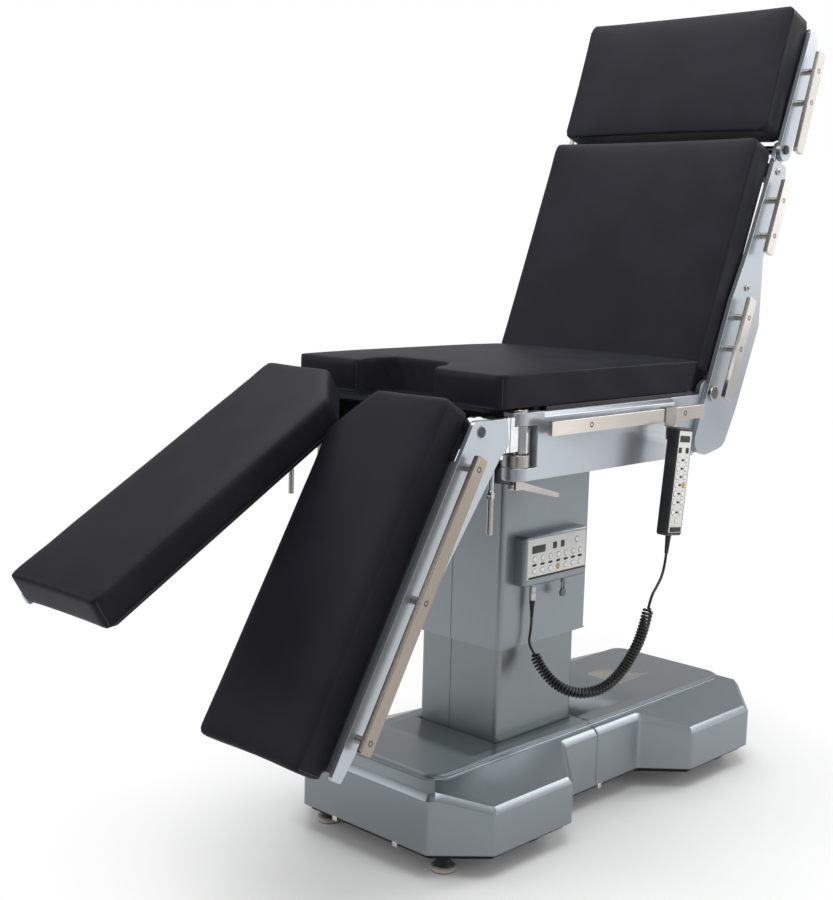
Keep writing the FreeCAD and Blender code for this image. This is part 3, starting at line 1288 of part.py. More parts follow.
def handset_cord():
    """Straight part of the cord between the coil and the handset."""
    end = relief_end()
    lean = math.radians(HANDSET_LEAN)
    before = (end[0] - CORD_LAST_RUN * math.sin(lean), end[1], end[2] - CORD_LAST_RUN * math.cos(lean))
    return route(CORD_RUN + [before, end], CORD_RADIUS, "handset_cord")


def hydraulic_pack():
    """Oil tank, pump block and motor that drive the lift, on the chassis behind the column."""
    floor = CHASSIS_BOTTOM + CHASSIS_THICKNESS
    tank = box(TANK_X, TANK_Y, (floor, floor + TANK_HEIGHT))
    tank = tank.makeFillet(6.0, tank.Edges)
    motor_x = TANK_X[1] + PUMP_LENGTH
    motor_end = motor_x + MOTOR_LENGTH
    motor_y = (PUMP_Y[0] + PUMP_Y[1]) / 2
    block = box((TANK_X[1], motor_x), PUMP_Y, (floor, floor + PUMP_HEIGHT))
    motor = rod((motor_x, motor_y, floor + MOTOR_LIFT), (motor_end, motor_y, floor + MOTOR_LIFT), MOTOR_RADIUS)
    motor = motor.makeFillet(4.0, [e for e in motor.Edges if e.BoundBox.XMin > motor_end - 1])
    foot = box(
        (motor_x + MOTOR_FOOT_INSET, motor_end - MOTOR_FOOT_INSET),
        (motor_y - MOTOR_FOOT_HALF_WIDTH, motor_y + MOTOR_FOOT_HALF_WIDTH), (floor, floor + MOTOR_FOOT),
    )
    return fused([tank, block, motor, foot])


def build():
    """All nodes by name."""
    nodes = {}
    nodes["base_chassis"] = base_chassis()
    nodes["front_base_cover"], nodes["rear_base_cover"] = base_covers()
    nodes["column_lower_cover"] = column_lower_cover()
    nodes["lift_guide"] = lift_guide()
    nodes["hydraulic_pack"] = hydraulic_pack()
    corners = [(-FOOT_X, -FOOT_Y), (-FOOT_X, FOOT_Y), (FOOT_X, -FOOT_Y), (FOOT_X, FOOT_Y)]
    for number, (x, y) in enumerate(corners, 1):
        nodes["levelling_foot_%d" % number] = levelling_foot(x, y)
    nodes["column_upper_cover"] = column_upper_cover()
    nodes["lift_ram"] = lift_ram()
    nodes["column_head"] = column_head()
    nodes["control_box"] = control_box()
    nodes["dust_cap"] = dust_cap()
    nodes["cord_plug"] = cord_plug()
    nodes["cord_tail"] = route(CORD_TAIL, CORD_RADIUS, "cord_tail")
    nodes["cord_coil"] = route(CORD_COIL, COIL_RADIUS, "cord_coil")
    nodes["handset_cord"] = handset_cord()
    nodes["tilt_yoke"] = tilt_yoke()
    beam = seat_beam()
    nodes["seat_beam_left"] = beam
    nodes["seat_beam_right"] = mirrored(beam)
    nodes["seat_cross_members"] = seat_cross_members()
    nodes["seat_board"] = seat_board()
    nodes["seat_cushion"] = seat_cushion()
    nodes["seat_rails"] = pair(rail(SEAT_RAIL_FRONT_X, SEAT_RAIL_REAR_X, SEAT_RAIL_Z))
    nodes["seat_rail_posts"] = pair(group([post(x, SEAT_RAIL_Z) for x in SEAT_POSTS_X]))
    nodes["back_hinge_pins"] = pair(back_hinge_pin())
    nodes["handset_clip"] = handset_clip()
    nodes["handset"] = handset()
    nodes["crown_rings"] = pair(crown_ring())
    nodes["clamp_rods"] = pair(clamp_rod())
    lever = cam_lever()
    arm = swivel_arm()
    handle = lock_handle()
    for side, drop in (("left", LEG_ANGLE_LEFT), ("right", LEG_ANGLE_RIGHT)):
        seat = (lambda s: s) if side == "left" else mirrored
        nodes["cam_lever_" + side] = seat(lever)
        nodes["swivel_arm_" + side] = seat(arm)
        nodes["lock_handle_" + side] = seat(handle)
        nodes["leg_plate_" + side] = seat(lowered(leg_plate(), drop))
        nodes["leg_board_" + side] = seat(lowered(leg_board(), drop))
        nodes["leg_cushion_" + side] = seat(lowered(leg_cushion(), drop))
        leg_rail = rail(LEG_RAIL_END, LEG_RAIL_START, LEG_RAIL_Z)
        nodes["leg_rail_" + side] = seat(lowered(leg_rail, drop))
        posts = group([post(x, LEG_RAIL_Z) for x in LEG_POSTS])
        nodes["leg_rail_posts_" + side] = seat(lowered(posts, drop))
    back = (BACK_HINGE_X, BACK_HINGE_Z)
    nodes["back_plates"] = raised(pair(back_plate()), back, BACK_ANGLE)
    nodes["back_cross_members"] = raised(back_cross_members(), back, BACK_ANGLE)
    nodes["back_board"] = raised(back_board(), back, BACK_ANGLE)
    nodes["back_cushion"] = raised(back_cushion(), back, BACK_ANGLE)
    nodes["back_rails"] = raised(back_rails(), back, BACK_ANGLE)
    nodes["back_rail_posts"] = raised(back_rail_posts(), back, BACK_ANGLE)
    nodes["head_hinge_bar"] = raised(head_hinge_bar(), back, BACK_ANGLE)
    head = head_hinge()
    nodes["head_plates"] = raised(pair(head_plate()), head, HEAD_ANGLE)
    nodes["head_board"] = raised(head_board(), head, HEAD_ANGLE)
    nodes["head_cushion"] = raised(head_cushion(), head, HEAD_ANGLE)
    nodes["head_rails"] = raised(pair(rail(*HEAD_RAIL)), head, HEAD_ANGLE)
    head_posts = pair(group([post(x, HEAD_RAIL[2]) for x in HEAD_POSTS]))
    nodes["head_rail_posts"] = raised(head_posts, head, HEAD_ANGLE)
    return nodes


def main():
    os.makedirs("parts", exist_ok=True)
    for name, shape in build().items():
        shape.exportStep("parts/%s.step" % name)


main()
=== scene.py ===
# %% [markdown]
# # An operating table, dressed for its photograph
#
# The table was built as solids first: a lobed steel base, a sleeve column, a seat frame with raised back
# and head sections, and hinged leg sections. This notebook loads that model as a fixed frame and gives it
# its looks: vinyl cushions, satin paint, brushed rails, chromed joints, keypads and a curly cord.
# Everything is in metres, +X points to the head end, +Z up, and -Y is the side that faces the camera.

# %% Load the fixed frame
import json
import math

import bmesh
import bpy
import numpy as np
from mathutils import Matrix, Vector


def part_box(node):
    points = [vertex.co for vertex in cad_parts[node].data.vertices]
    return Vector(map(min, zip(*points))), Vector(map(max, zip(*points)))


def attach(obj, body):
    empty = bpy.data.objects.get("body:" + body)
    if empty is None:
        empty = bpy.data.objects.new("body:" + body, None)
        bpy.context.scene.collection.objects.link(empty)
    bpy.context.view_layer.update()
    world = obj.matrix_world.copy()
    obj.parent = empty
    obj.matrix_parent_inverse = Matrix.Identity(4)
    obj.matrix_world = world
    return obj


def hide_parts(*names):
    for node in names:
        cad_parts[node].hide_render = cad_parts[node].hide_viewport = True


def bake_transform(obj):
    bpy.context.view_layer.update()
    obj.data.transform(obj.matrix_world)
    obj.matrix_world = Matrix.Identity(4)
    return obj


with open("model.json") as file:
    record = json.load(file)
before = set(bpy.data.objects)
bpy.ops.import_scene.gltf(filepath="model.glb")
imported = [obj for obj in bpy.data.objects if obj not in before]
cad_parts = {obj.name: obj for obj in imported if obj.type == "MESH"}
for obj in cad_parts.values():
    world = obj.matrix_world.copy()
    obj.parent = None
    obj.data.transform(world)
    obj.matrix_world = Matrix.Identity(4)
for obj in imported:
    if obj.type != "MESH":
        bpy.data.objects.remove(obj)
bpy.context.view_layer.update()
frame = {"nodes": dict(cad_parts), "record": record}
body_of_node = {
    node: body for body, nodes in frame["record"]["behaviour"]["bodies"].items() for node in nodes
}

# %% [markdown]
# ## The camera
#
# The photograph was taken from the leg end, at about the height of the seat, with a longish lens. The
# place and the angles come from the vanishing points of the rails and the base, so the table fills the
# frame as it does there. The camera looks along a heading (yaw), tips down (pitch) and leans a little
# (roll); its right and up directions follow from those three angles by cross products.

# %% Camera
CAMERA_PLACE = (-2.2198, -1.7465, 1.0970)
YAW, PITCH, ROLL = (math.radians(angle) for angle in (43.6, -8.30, 1.50))
LENS_MM = 56.92


def camera_axes(yaw, pitch, roll):
    """Right, up and backward directions: forward is (cos p cos y, cos p sin y, sin p), right is forward
    crossed with up, and the roll turns right and up about forward."""
    forward = np.array([math.cos(pitch) * math.cos(yaw), math.cos(pitch) * math.sin(yaw), math.sin(pitch)])
    right = np.cross(forward, [0, 0, 1])
    right /= np.linalg.norm(right)
    up = np.cross(right, forward)
    turned_right = math.cos(roll) * right + math.sin(roll) * up
    turned_up = -math.sin(roll) * right + math.cos(roll) * up
    return turned_right, turned_up, -forward


def new_object(name, data):
    """An object with the given data, linked into the scene."""
    made = bpy.data.objects.new(name, data)
    bpy.context.scene.collection.objects.link(made)
    return made


camera_data = bpy.data.cameras.new("camera")
camera_data.lens = LENS_MM
camera_data.sensor_width = 36.0
camera = new_object("camera", camera_data)
pose = np.eye(4)
pose[:3, :3] = np.array(camera_axes(YAW, PITCH, ROLL)).T
pose[:3, 3] = CAMERA_PLACE
camera.matrix_world = Matrix(pose.tolist())
bpy.context.scene.camera = camera
bpy.context.scene.view_settings.view_transform = "Standard"
print("camera", CAMERA_PLACE, LENS_MM, "mm")

# %% [markdown]
# ## Small tools
#
# Colours are written as the hex values that a paint card or a picture editor shows, and one function turns
# them into the linear values that a shader works with. Others add a shader node with its settings and
# links, start a material, or make noise, mixtures and bump. Four directions in space have names.

# %% Colour and node helpers
MM = 0.001
HEADWARD, NEAR, UP, FOOTWARD = (1, 0, 0), (0, -1, 0), (0, 0, 1), (-1, 0, 0)


def colour(hex_value, alpha=1.0):
    """Linear colour of an sRGB hex value: c / 12.92 below 0.04045, else ((c + 0.055) / 1.055) ^ 2.4."""
    channels = np.array([int(hex_value[i:i + 2], 16) for i in (1, 3, 5)]) / 255
    linear = np.where(channels <= 0.04045, channels / 12.92, ((channels + 0.055) / 1.055) ** 2.4)
    return (*linear.tolist(), alpha)


def add_node(material, kind, inputs=None, **settings):
    """A shader node; settings are its own properties, inputs its sockets, each a value or an output."""
    made = material.node_tree.nodes.new("ShaderNode" + kind)
    for name, value in settings.items():
        setattr(made, name, value)
    for socket, value in (inputs or {}).items():
        if isinstance(value, bpy.types.NodeSocket):
            material.node_tree.links.new(value, made.inputs[socket])
        else:
            made.inputs[socket].default_value = value
    return made


def new_material(name, **inputs):
    """A material with a Principled shader; returns it, the shader and the output for a place on the object."""
    material = bpy.data.materials.new(name)
    material.use_nodes = True
    material.node_tree.nodes.clear()
    sockets = {key.replace("_", " "): value for key, value in inputs.items()}
    shader = add_node(material, "BsdfPrincipled", sockets)
    add_node(material, "OutputMaterial", {"Surface": shader.outputs[0]})
    return material, shader, add_node(material, "TexCoord").outputs["Object"]


def noise(material, where, size_mm, detail=2.0, stretch=(1, 1, 1)):
    """Noise whose grains are size_mm across, longer along an axis by its stretch."""
    mapped = add_node(material, "Mapping", {"Vector": where, "Scale": [1 / s for s in stretch]}).outputs[0]
    grains = {"Vector": mapped, "Scale": 1 / (size_mm * MM), "Detail": detail}
    return add_node(material, "TexNoise", grains).outputs[0]


def between(material, factor, low, high, start=0.35, end=0.65):
    """Two colours or two numbers mixed as factor goes from start to end."""
    span = {"Value": factor, "From Min": start, "From Max": end}
    if isinstance(low, tuple):
        share = add_node(material, "MapRange", span).outputs[0]
        return add_node(material, "Mix", {0: share, 6: low, 7: high}, data_type="RGBA").outputs[2]
    return add_node(material, "MapRange", {**span, "To Min": low, "To Max": high}).outputs[0]


def bump(material, height, depth_mm, strength=0.5, **under):
    """Bump of a given depth, on top of another one if its Normal is given."""
    relief = {"Height": height, "Distance": depth_mm * MM, "Strength": strength, **under}
    return add_node(material, "Bump", relief).outputs[0]


def set_inputs(material, shader, **links):
    """Links node outputs to the shader's sockets."""
    for name, output in links.items():
        material.node_tree.links.new(output, shader.inputs[name.replace("_", " ")])


print("paint card check", [round(c, 3) for c in colour("#808080")])

# %% [markdown]
# ## Surfaces from grids
#
# New pieces are grids of points: a shape is a function of two parameters, worked out as whole arrays. A
# tube is a circle carried along a path, a turned part is a profile carried round an axis, and a flat part
# is an outline carried through its thickness, with a small ring near each edge that rounds it.

# %% Mesh helpers
def finish_mesh(name, points, faces, material, smooth_deg=35.0):
    """Object at the origin from points and faces; doubled points merged, faces turned outwards."""
    mesh = bpy.data.meshes.new(name)
    mesh.from_pydata(np.asarray(points, float).tolist(), [], [list(map(int, face)) for face in faces])
    form = bmesh.new()
    form.from_mesh(mesh)
    bmesh.ops.remove_doubles(form, verts=form.verts, dist=1e-6)
    bmesh.ops.recalc_face_normals(form, faces=form.faces)
    form.to_mesh(mesh)
    form.free()
    mesh.shade_smooth()
    mesh.set_sharp_from_angle(angle=math.radians(smooth_deg))
    mesh.materials.append(material)
    return new_object(name, mesh)


def coordinates(mesh):
    """The mesh's points as an array."""
    found = np.empty(len(mesh.vertices) * 3)
    mesh.vertices.foreach_get("co", found)
    return found.reshape(-1, 3)


def unit(vectors):
    """Rows of vectors at length one."""
    return vectors / np.linalg.norm(vectors, axis=1)[:, None]


def grid_faces(rows, columns):
    """Quads of a grid whose columns close in a ring."""
    row, column = np.meshgrid(np.arange(rows - 1), np.arange(columns), indexing="ij")
    after = (column + 1) % columns
    here, above = row * columns, (row + 1) * columns
    quads = np.stack([here + column, here + after, above + after, above + column], -1)
    return quads.reshape(-1, 4).tolist()


def path_axes(path, across):
    """Two directions square to the path at each of its points: n is the given across direction made square
    to the path, and b is the path direction crossed with n."""
    along = unit(np.gradient(path, axis=0))
    n = unit(across - np.sum(across * along, axis=1)[:, None] * along)
    return n, np.cross(along, n)


def tube(path, across, radius, sides=12):
    """Points and faces of a round tube: at each path point the ring is radius * (cos a * n + sin a * b). The
    ends shrink to points."""
    n, b = path_axes(path, across)
    angle = np.linspace(0, 2 * np.pi, sides, endpoint=False)[None, :, None]
    size = np.broadcast_to(np.asarray(radius, float), (len(path),)).copy()
    centres = np.concatenate([path[:1], path, path[-1:]])
    size = np.concatenate([[0.0], size, [0.0]])[:, None, None]
    n, b = (np.concatenate([v[:1], v, v[-1:]])[:, None, :] for v in (n, b))
    ring = centres[:, None, :] + size * (np.cos(angle) * n + np.sin(angle) * b)
    return ring.reshape(-1, 3), grid_faces(len(centres), sides)


def axes_for(direction):
    """Two directions square to the given one and to each other."""
    direction = np.asarray(direction, float) / np.linalg.norm(direction)
    helper = np.array([0, 0, 1.0]) if abs(direction[2]) < 0.9 else np.array([1.0, 0, 0])
    u = np.cross(helper, direction)
    u /= np.linalg.norm(u)
    return u, np.cross(direction, u), direction


def turned(profile, centre, direction, sides=32):
    """Points and faces of a turned part: each (radius, height) of the profile, in millimetres, becomes a ring
    at that height along the direction."""
    u, v, w = axes_for(direction)
    radius, height = (np.asarray(profile, float) * MM).T
    angle = np.linspace(0, 2 * np.pi, sides, endpoint=False)
    ring = np.cos(angle)[:, None] * u + np.sin(angle)[:, None] * v
    points = np.asarray(centre) + radius[:, None, None] * ring + height[:, None, None] * w
    return points.reshape(-1, 3), grid_faces(len(radius), sides)


def joined(parts):
    """Points and faces of several parts as one list."""
    points, faces, offset = [], [], 0
    for part_points, part_faces in parts:
        points.append(np.asarray(part_points, float))
        faces += [[index + offset for index in face] for face in part_faces]
        offset += len(part_points)
    return np.concatenate(points), faces


def inward_of(outline):
    """Direction into the outline at each of its points: square to the line through the two neighbours."""
    along = unit(np.roll(outline, -1, 0) - np.roll(outline, 1, 0))
    return np.column_stack([-along[:, 1], along[:, 0]])


def ring_at(plan, height):
    """Points of a plan outline at one height, or each at its own."""
    return np.column_stack([plan, np.broadcast_to(height, len(plan))])


def slab(outline, low, high, edge=0.0):
    """Points and faces of an outline carried from low to high, its top edge rounded by drawing the last
    ring in. Heights are along +Z; outline points run once round."""
    outline = np.asarray(outline, float)
    inward = inward_of(outline)
    rings = [(0.0, low), (0.0, high)]
    if edge > 0:
        rings = [(0.0, low), (0.0, high - edge), (0.3 * edge, high - 0.3 * edge), (edge, high)]
    points = np.concatenate([ring_at(outline + inward * inset, height) for inset, height in rings])
    count = len(outline)
    faces = grid_faces(len(rings), count)
    faces.append(list(range(count))[::-1])
    faces.append(list(range((len(rings) - 1) * count, len(rings) * count)))
    return points, faces


def rounded_box(width, height, radius, steps=6):
    """Outline of a rectangle with round corners, centred, running anticlockwise: a quarter circle at each
    corner."""
    turn = np.linspace(0, np.pi / 2, steps)
    corners = []
    for sign_x, sign_y, start in ((1, 1, 0), (-1, 1, 1), (-1, -1, 2), (1, -1, 3)):
        centre = np.array([sign_x * (width / 2 - radius), sign_y * (height / 2 - radius)])
        angle = turn + start * np.pi / 2
        corners.append(centre + radius * np.column_stack([np.cos(angle), np.sin(angle)]))
    return np.concatenate(corners)


def oval(width, height, steps=28):
    """Outline of an ellipse, anticlockwise."""
    angle = np.linspace(0, 2 * np.pi, steps, endpoint=False)
    return np.column_stack([width / 2 * np.cos(angle), height / 2 * np.sin(angle)])


def leaned(points, lean_deg):
    """Points turned about the Y axis: x cos t - z sin t, and x sin t + z cos t."""
    turn = math.radians(lean_deg)
    x, y, z = points.T
    across, along = math.cos(turn), math.sin(turn)
    return np.column_stack([x * across - z * along, y, x * along + z * across])


def settle(piece, body, slot, *nodes):
    """The piece rides on a body and may stand for CAD nodes, which it hides; slot is not used."""
    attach(piece, body)
    if nodes:
        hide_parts(*nodes)
    return piece


print("helpers ready")

# %% [markdown]
# ## Finishes of the hard parts
#
# The covers are sheet steel with a silver-grey powder coat: a satin skin with fine metal flake, which
# gives soft highlights and a faint sparkle. The frame has the same paint in a bluer, slightly lighter
# shade. Rails and posts are brushed stainless steel, whose fine scratches run along the part and draw its
# highlights out. The joints are chromed or ground steel.

# %% Painted steel
def painted_steel(name, base, light, roughness):
    """Powder-coated steel: an opaque satin coat with metal flake. Flakes are 0.1 mm in the real coat and
    drawn 0.9 mm so that they show; the coat's skin waves over about 6 mm."""
    material, shader, where = new_material(
        name, Metallic=0.82, Roughness=roughness, Coat_Weight=0.15, Coat_Roughness=0.25
    )
    flake = noise(material, where, 0.9, detail=3.0)
    cloud = noise(material, where, 90.0)
    shade = between(material, flake, colour(base), colour(light), 0.3, 0.7)
    soft = between(material, cloud, (0.95, 0.95, 0.955, 1), (1.0, 1.0, 1.0, 1), 0.2, 0.8)
    tinted = add_node(material, "Mix", {0: 1.0, 6: shade, 7: soft}, data_type="RGBA",
                      blend_type="MULTIPLY").outputs[2]
    skin = noise(material, where, 6.0)
    set_inputs(
        material, shader, Base_Color=tinted, Normal=bump(material, skin, 0.03, 0.2),
        Roughness=between(material, cloud, roughness - 0.03, roughness + 0.03, 0.2, 0.8),
    )
    return material


cover_paint = painted_steel("powder_coated_steel_silver_grey", "#848B90", "#8E9599", 0.33)
frame_paint = painted_steel("powder_coated_steel_pale_blue_grey", "#B2B9C0", "#BDC3C9", 0.30)
sleeve_paint = painted_steel("powder_coated_steel_grey_green", "#7A8081", "#848A8B", 0.31)
dark_paint = painted_steel("powder_coated_steel_black", "#121314", "#18191A", 0.48)
print("painted steel ready")

# %% Bare metals
def brushed_steel(name, base, light, roughness, lean_deg=0.0):
    """Brushed stainless steel: scratches of about 0.3 mm, drawn 0.7 mm wide and 60 mm long, along X or
    along X leaned up by lean_deg for a part on a raised or lowered section."""
    material, shader, where = new_material(name, Metallic=1.0, Roughness=roughness)
    turned_back = {"Vector": where, "Rotation": (0, math.radians(lean_deg), 0)}
    level = add_node(material, "Mapping", turned_back).outputs[0]
    scratch = noise(material, level, 0.7, detail=2.0, stretch=(90, 1, 1))
    cloud = noise(material, where, 130.0, detail=1.0)
    set_inputs(
        material, shader, Base_Color=between(material, scratch, colour(base), colour(light), 0.3, 0.7),
        Roughness=between(material, cloud, roughness - 0.03, roughness + 0.03),
        Normal=bump(material, scratch, 0.01, 0.2),
    )
    return material


def bright_steel(name, base, light, roughness, size_mm=30.0):
    """Chromed or ground steel: a bright skin with faint cloudy marks."""
    material, shader, where = new_material(name, Metallic=1.0, Roughness=roughness)
    cloud = noise(material, where, size_mm)
    set_inputs(
        material, shader, Base_Color=between(material, cloud, colour(base), colour(light)),
        Roughness=between(material, cloud, roughness, roughness + 0.05, 0.2, 0.8),
    )
    return material


BACK_LEAN, HEAD_LEAN, LEFT_LEG_LEAN, RIGHT_LEG_LEAN = 68.8, 71.2, 60.0, 30.6
# Painted shade: these are copies of one stainless steel. The leg rails are painted darker and browner, and the
# head rails a little darker, for the dimmer reflections of those faces.
steel_level, steel_back, shaded_steel_head, shaded_steel_left_leg, shaded_steel_right_leg = (
    brushed_steel("brushed_stainless_steel_" + place, base, light, roughness, lean)
    for place, base, light, roughness, lean in (
        ("level", "#CCC6BF", "#D6D0C9", 0.26, 0.0),
        ("back", "#CCC8C3", "#D6D2CD", 0.24, BACK_LEAN),
        ("head", "#BBB7B2", "#C6C2BD", 0.24, HEAD_LEAN),
        ("left_leg", "#948B82", "#A0978E", 0.24, LEFT_LEG_LEAN),
        ("right_leg", "#948B82", "#A0978E", 0.24, RIGHT_LEG_LEAN),
    )
)
chrome = bright_steel("chromed_steel", "#B8BABC", "#CACCCE", 0.10)
ground_steel = bright_steel("ground_steel", "#AEAAA5", "#BAB7B2", 0.22, 60.0)
dull_steel = bright_steel("blackened_steel", "#4A4B4C", "#58595A", 0.36, 8.0)
print("bare metals ready")

# %% [markdown]
# ## Finishes of the plastics and rubber
#
# The hand control is a moulded ABS shell with a fine spark-eroded grain. The cord, its boot and the dust
# cap are black PVC and rubber, duller than the shell. Under each cushion lies a board with a black
# laminate, whose cut edge is the only part that shows.

# %% Plastics
def moulded(name, base, light, roughness, grain_mm=0.8, depth_mm=0.04):
    """Moulded plastic or rubber: a grain of 0.2 mm drawn larger, and slightly uneven gloss."""
    material, shader, where = new_material(name, Roughness=roughness)
    grain = noise(material, where, grain_mm, detail=4.0)
    cloud = noise(material, where, 35.0)
    set_inputs(
        material, shader, Base_Color=between(material, cloud, colour(base), colour(light)),
        Roughness=between(material, cloud, roughness - 0.05, roughness + 0.05),
        Normal=bump(material, grain, depth_mm, 0.5),
    )
    return material


black_abs = moulded("moulded_abs_black", "#191A1C", "#202123", 0.42)
black_rubber = moulded("rubber_black", "#141415", "#1B1B1C", 0.50)
cord_pvc = moulded("pvc_cord_sheath_black", "#121213", "#181819", 0.38, 0.6, 0.02)
grey_rubber = moulded("rubber_grey", "#5A5F61", "#666B6D", 0.50)
laminate = moulded("laminate_board_black", "#1C1C1E", "#242426", 0.55)
foot_nylon = moulded("moulded_nylon_cream", "#BDB8A8", "#CAC5B6", 0.45)
print("plastics ready")

# %% [markdown]
# ## Upholstery vinyl
#
# The cushions are foam under black polyurethane-coated cloth, a smooth vinyl with a very fine leather
# grain. It looks almost black, slightly blue in the light, with a broad soft sheen and faint stretch
# marks, which a low bump and slightly uneven gloss give.

# %% Vinyl
def upholstery_vinyl(name):
    """Vinyl: pebble grain of 0.4 mm drawn 1.1 mm, soft creases over 45 mm, and gloss that varies over a
    hand's width."""
    material, shader, where = new_material(name, Roughness=0.47, Specular_IOR_Level=0.09)
    pebble = add_node(
        material, "TexVoronoi", {"Vector": where, "Scale": 1 / (1.1 * MM)}, feature="SMOOTH_F1"
    ).outputs[0]
    crease = noise(material, where, 45.0, detail=3.0)
    cloud = noise(material, where, 110.0)
    fine = bump(material, pebble, 0.05, 0.35)
    set_inputs(
        material, shader, Base_Color=between(material, cloud, colour("#1C1C23"), colour("#212128")),
        Roughness=between(material, cloud, 0.45, 0.49), Normal=bump(material, crease, 0.9, 0.35, Normal=fine),
    )
    return material


vinyl = upholstery_vinyl("polyurethane_vinyl_black")
seam_vinyl = moulded("polyurethane_vinyl_black_welt", "#1E1E23", "#232329", 0.40)
print("vinyl ready")

# %% [markdown]
# ## The cord
#
# A cord of about 5 mm runs from a connector under the control box, drops straight, turns into a curly
# part that hangs in a loop beside the column, and ends straight in the hand control. The same points that
# shape its solids are the control points of a smooth spline here. The curly part is a helix wound round
# that spline. The cord crosses two tilt axes and is made as two pieces: the lower one between the column
# and the yoke, the upper one between the yoke and the seat frame.

# %% The route as splines
CORD_RADIUS = 2.5 * MM
HELIX_RADIUS = 8.1 * MM
TURN_PITCH = 6.5 * MM
TAIL_POINTS = [
    (-181.0, -115.0, 407.0), (-181.0, -115.0, 385.0), (-186.375, -114.0, 357.5625), (-182.0, -124.0, 338.5),
]
COIL_POINTS = [
    (-182.0, -124.0, 338.5), (-175.0, -140.0, 308.0), (-163.0, -165.0, 281.5), (-149.0, -195.0, 270.6),
    (-133.5, -223.5, 274.5), (-120.0, -250.0, 290.1), (-108.4, -272.0, 319.8), (-104.1, -292.0, 355.7),
    (-101.4, -306.0, 390.0), (-101.5, -315.5, 424.0), (-97.0, -318.5, 452.0),
]
RUN_POINTS = [
    (-97.0, -318.5, 452.0), (-93.85, -320.6, 471.6), (-76.0, -319.0, 486.0), (-57.5, -316.5, 500.5),
]
HANDSET_LEAN = math.radians(6.7)
HANDSET_PIVOT = np.array([-16.0, -314.5, 775.0]) * MM
lean_down = np.array([-math.sin(HANDSET_LEAN), 0.0, -math.cos(HANDSET_LEAN)])
relief_end = HANDSET_PIVOT + 233.0 * MM * lean_down
RUN_POINTS += [tuple((relief_end + 20.0 * MM * lean_down) / MM), tuple(relief_end / MM)]


def spline_line(name, points_mm):
    """Points of a smooth NURBS spline of order 3 that has the given control points, ends included."""
    curve = bpy.data.curves.new(name, "CURVE")
    curve.dimensions = "3D"
    curve.resolution_u = 24
    spline = curve.splines.new("NURBS")
    spline.points.add(len(points_mm) - 1)
    flat = np.column_stack([np.array(points_mm) * MM, np.ones(len(points_mm))]).ravel()
    spline.points.foreach_set("co", flat)
    spline.order_u = 3
    spline.use_endpoint_u = True
    holder = new_object(name, curve)
    bpy.context.view_layer.update()
    line = bpy.data.meshes.new_from_object(holder)
    bpy.data.objects.remove(holder)
    return coordinates(line)


def even_steps(line, count):
    """The line sampled again at equal steps of its length; returns points and lengths."""
    steps = np.concatenate([[0], np.cumsum(np.linalg.norm(np.diff(line, axis=0), axis=1))])
    at = np.linspace(0, steps[-1], count)
    return np.column_stack([np.interp(at, steps, line[:, k]) for k in range(3)]), at


tail_length = even_steps(spline_line("tail_line", TAIL_POINTS), 100)[1][-1]
lower_line = spline_line("lower_line", TAIL_POINTS + COIL_POINTS[1:])
upper_line = spline_line("upper_line", RUN_POINTS)
print("tail", round(tail_length, 4), "lower line", round(even_steps(lower_line, 9)[1][-1], 4))

# %% Helix round the lower line
LOOP_SIDE = np.array([0.917, 0.400, 0.0]) / math.hypot(0.917, 0.400)
POINTS_PER_TURN = 22


def curly(line, start, blend_length):
    """Centreline of a curly cord: p(s) + r(s) (cos f n + sin f b). The angle f grows by a turn each pitch
    after the straight start, and r rises smoothly from zero and falls again at the far end."""
    total = even_steps(line, 9)[1][-1]
    centre, at = even_steps(line, int(total / TURN_PITCH * POINTS_PER_TURN))
    n, b = path_axes(centre, LOOP_SIDE)
    rise = np.clip((at - start) / blend_length, 0, 1)
    fall = np.clip((total - at) / blend_length, 0, 1)
    reach = HELIX_RADIUS * (rise * rise * (3 - 2 * rise)) * (fall * fall * (3 - 2 * fall))
    angle = (2 * np.pi * np.clip(at - start, 0, None) / TURN_PITCH)[:, None]
    outward = np.cos(angle) * n + np.sin(angle) * b
    return centre + reach[:, None] * outward, outward


def path_length(path):
    """Length along the points."""
    return float(np.linalg.norm(np.diff(path, axis=0), axis=1).sum())


curly_path, curly_across = curly(lower_line, tail_length, 9 * MM)
cord_lower = finish_mesh("cord_curly", *tube(curly_path, curly_across, CORD_RADIUS, 10), cord_pvc, 60)
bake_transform(cord_lower)
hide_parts("cord_tail", "cord_coil")
upper_path, _ = even_steps(upper_line, 90)
upper_across = np.broadcast_to(LOOP_SIDE, upper_path.shape)
cord_upper = finish_mesh("cord_straight", *tube(upper_path, upper_across, CORD_RADIUS, 16), cord_pvc, 60)
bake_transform(cord_upper)
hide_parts("handset_cord")
for label, path in (("curly cord", curly_path), ("straight cord", upper_path)):
    print(label, round(path_length(path), 3), "m")

# %% [markdown]
# ## Floor, light and background
#
# The photograph is a studio shot on white: an even, shadowless background with one soft grey shadow
# beside the base. The floor is a large pale sheet that keeps the shadow near the base and fades to plain
# white further out, for the camera only. Soft boxes light the table: one overhead, one on the camera's
# right, one at the leg end, and smaller ones that the rails and the folds of the base mirror.

# %% Floor and world
SHADOW_CENTRE, SHADOW_END, WHITE_FROM = (0.3, -0.3, 0), 0.9, 1.45
CAMERA_GLOW = 0.04


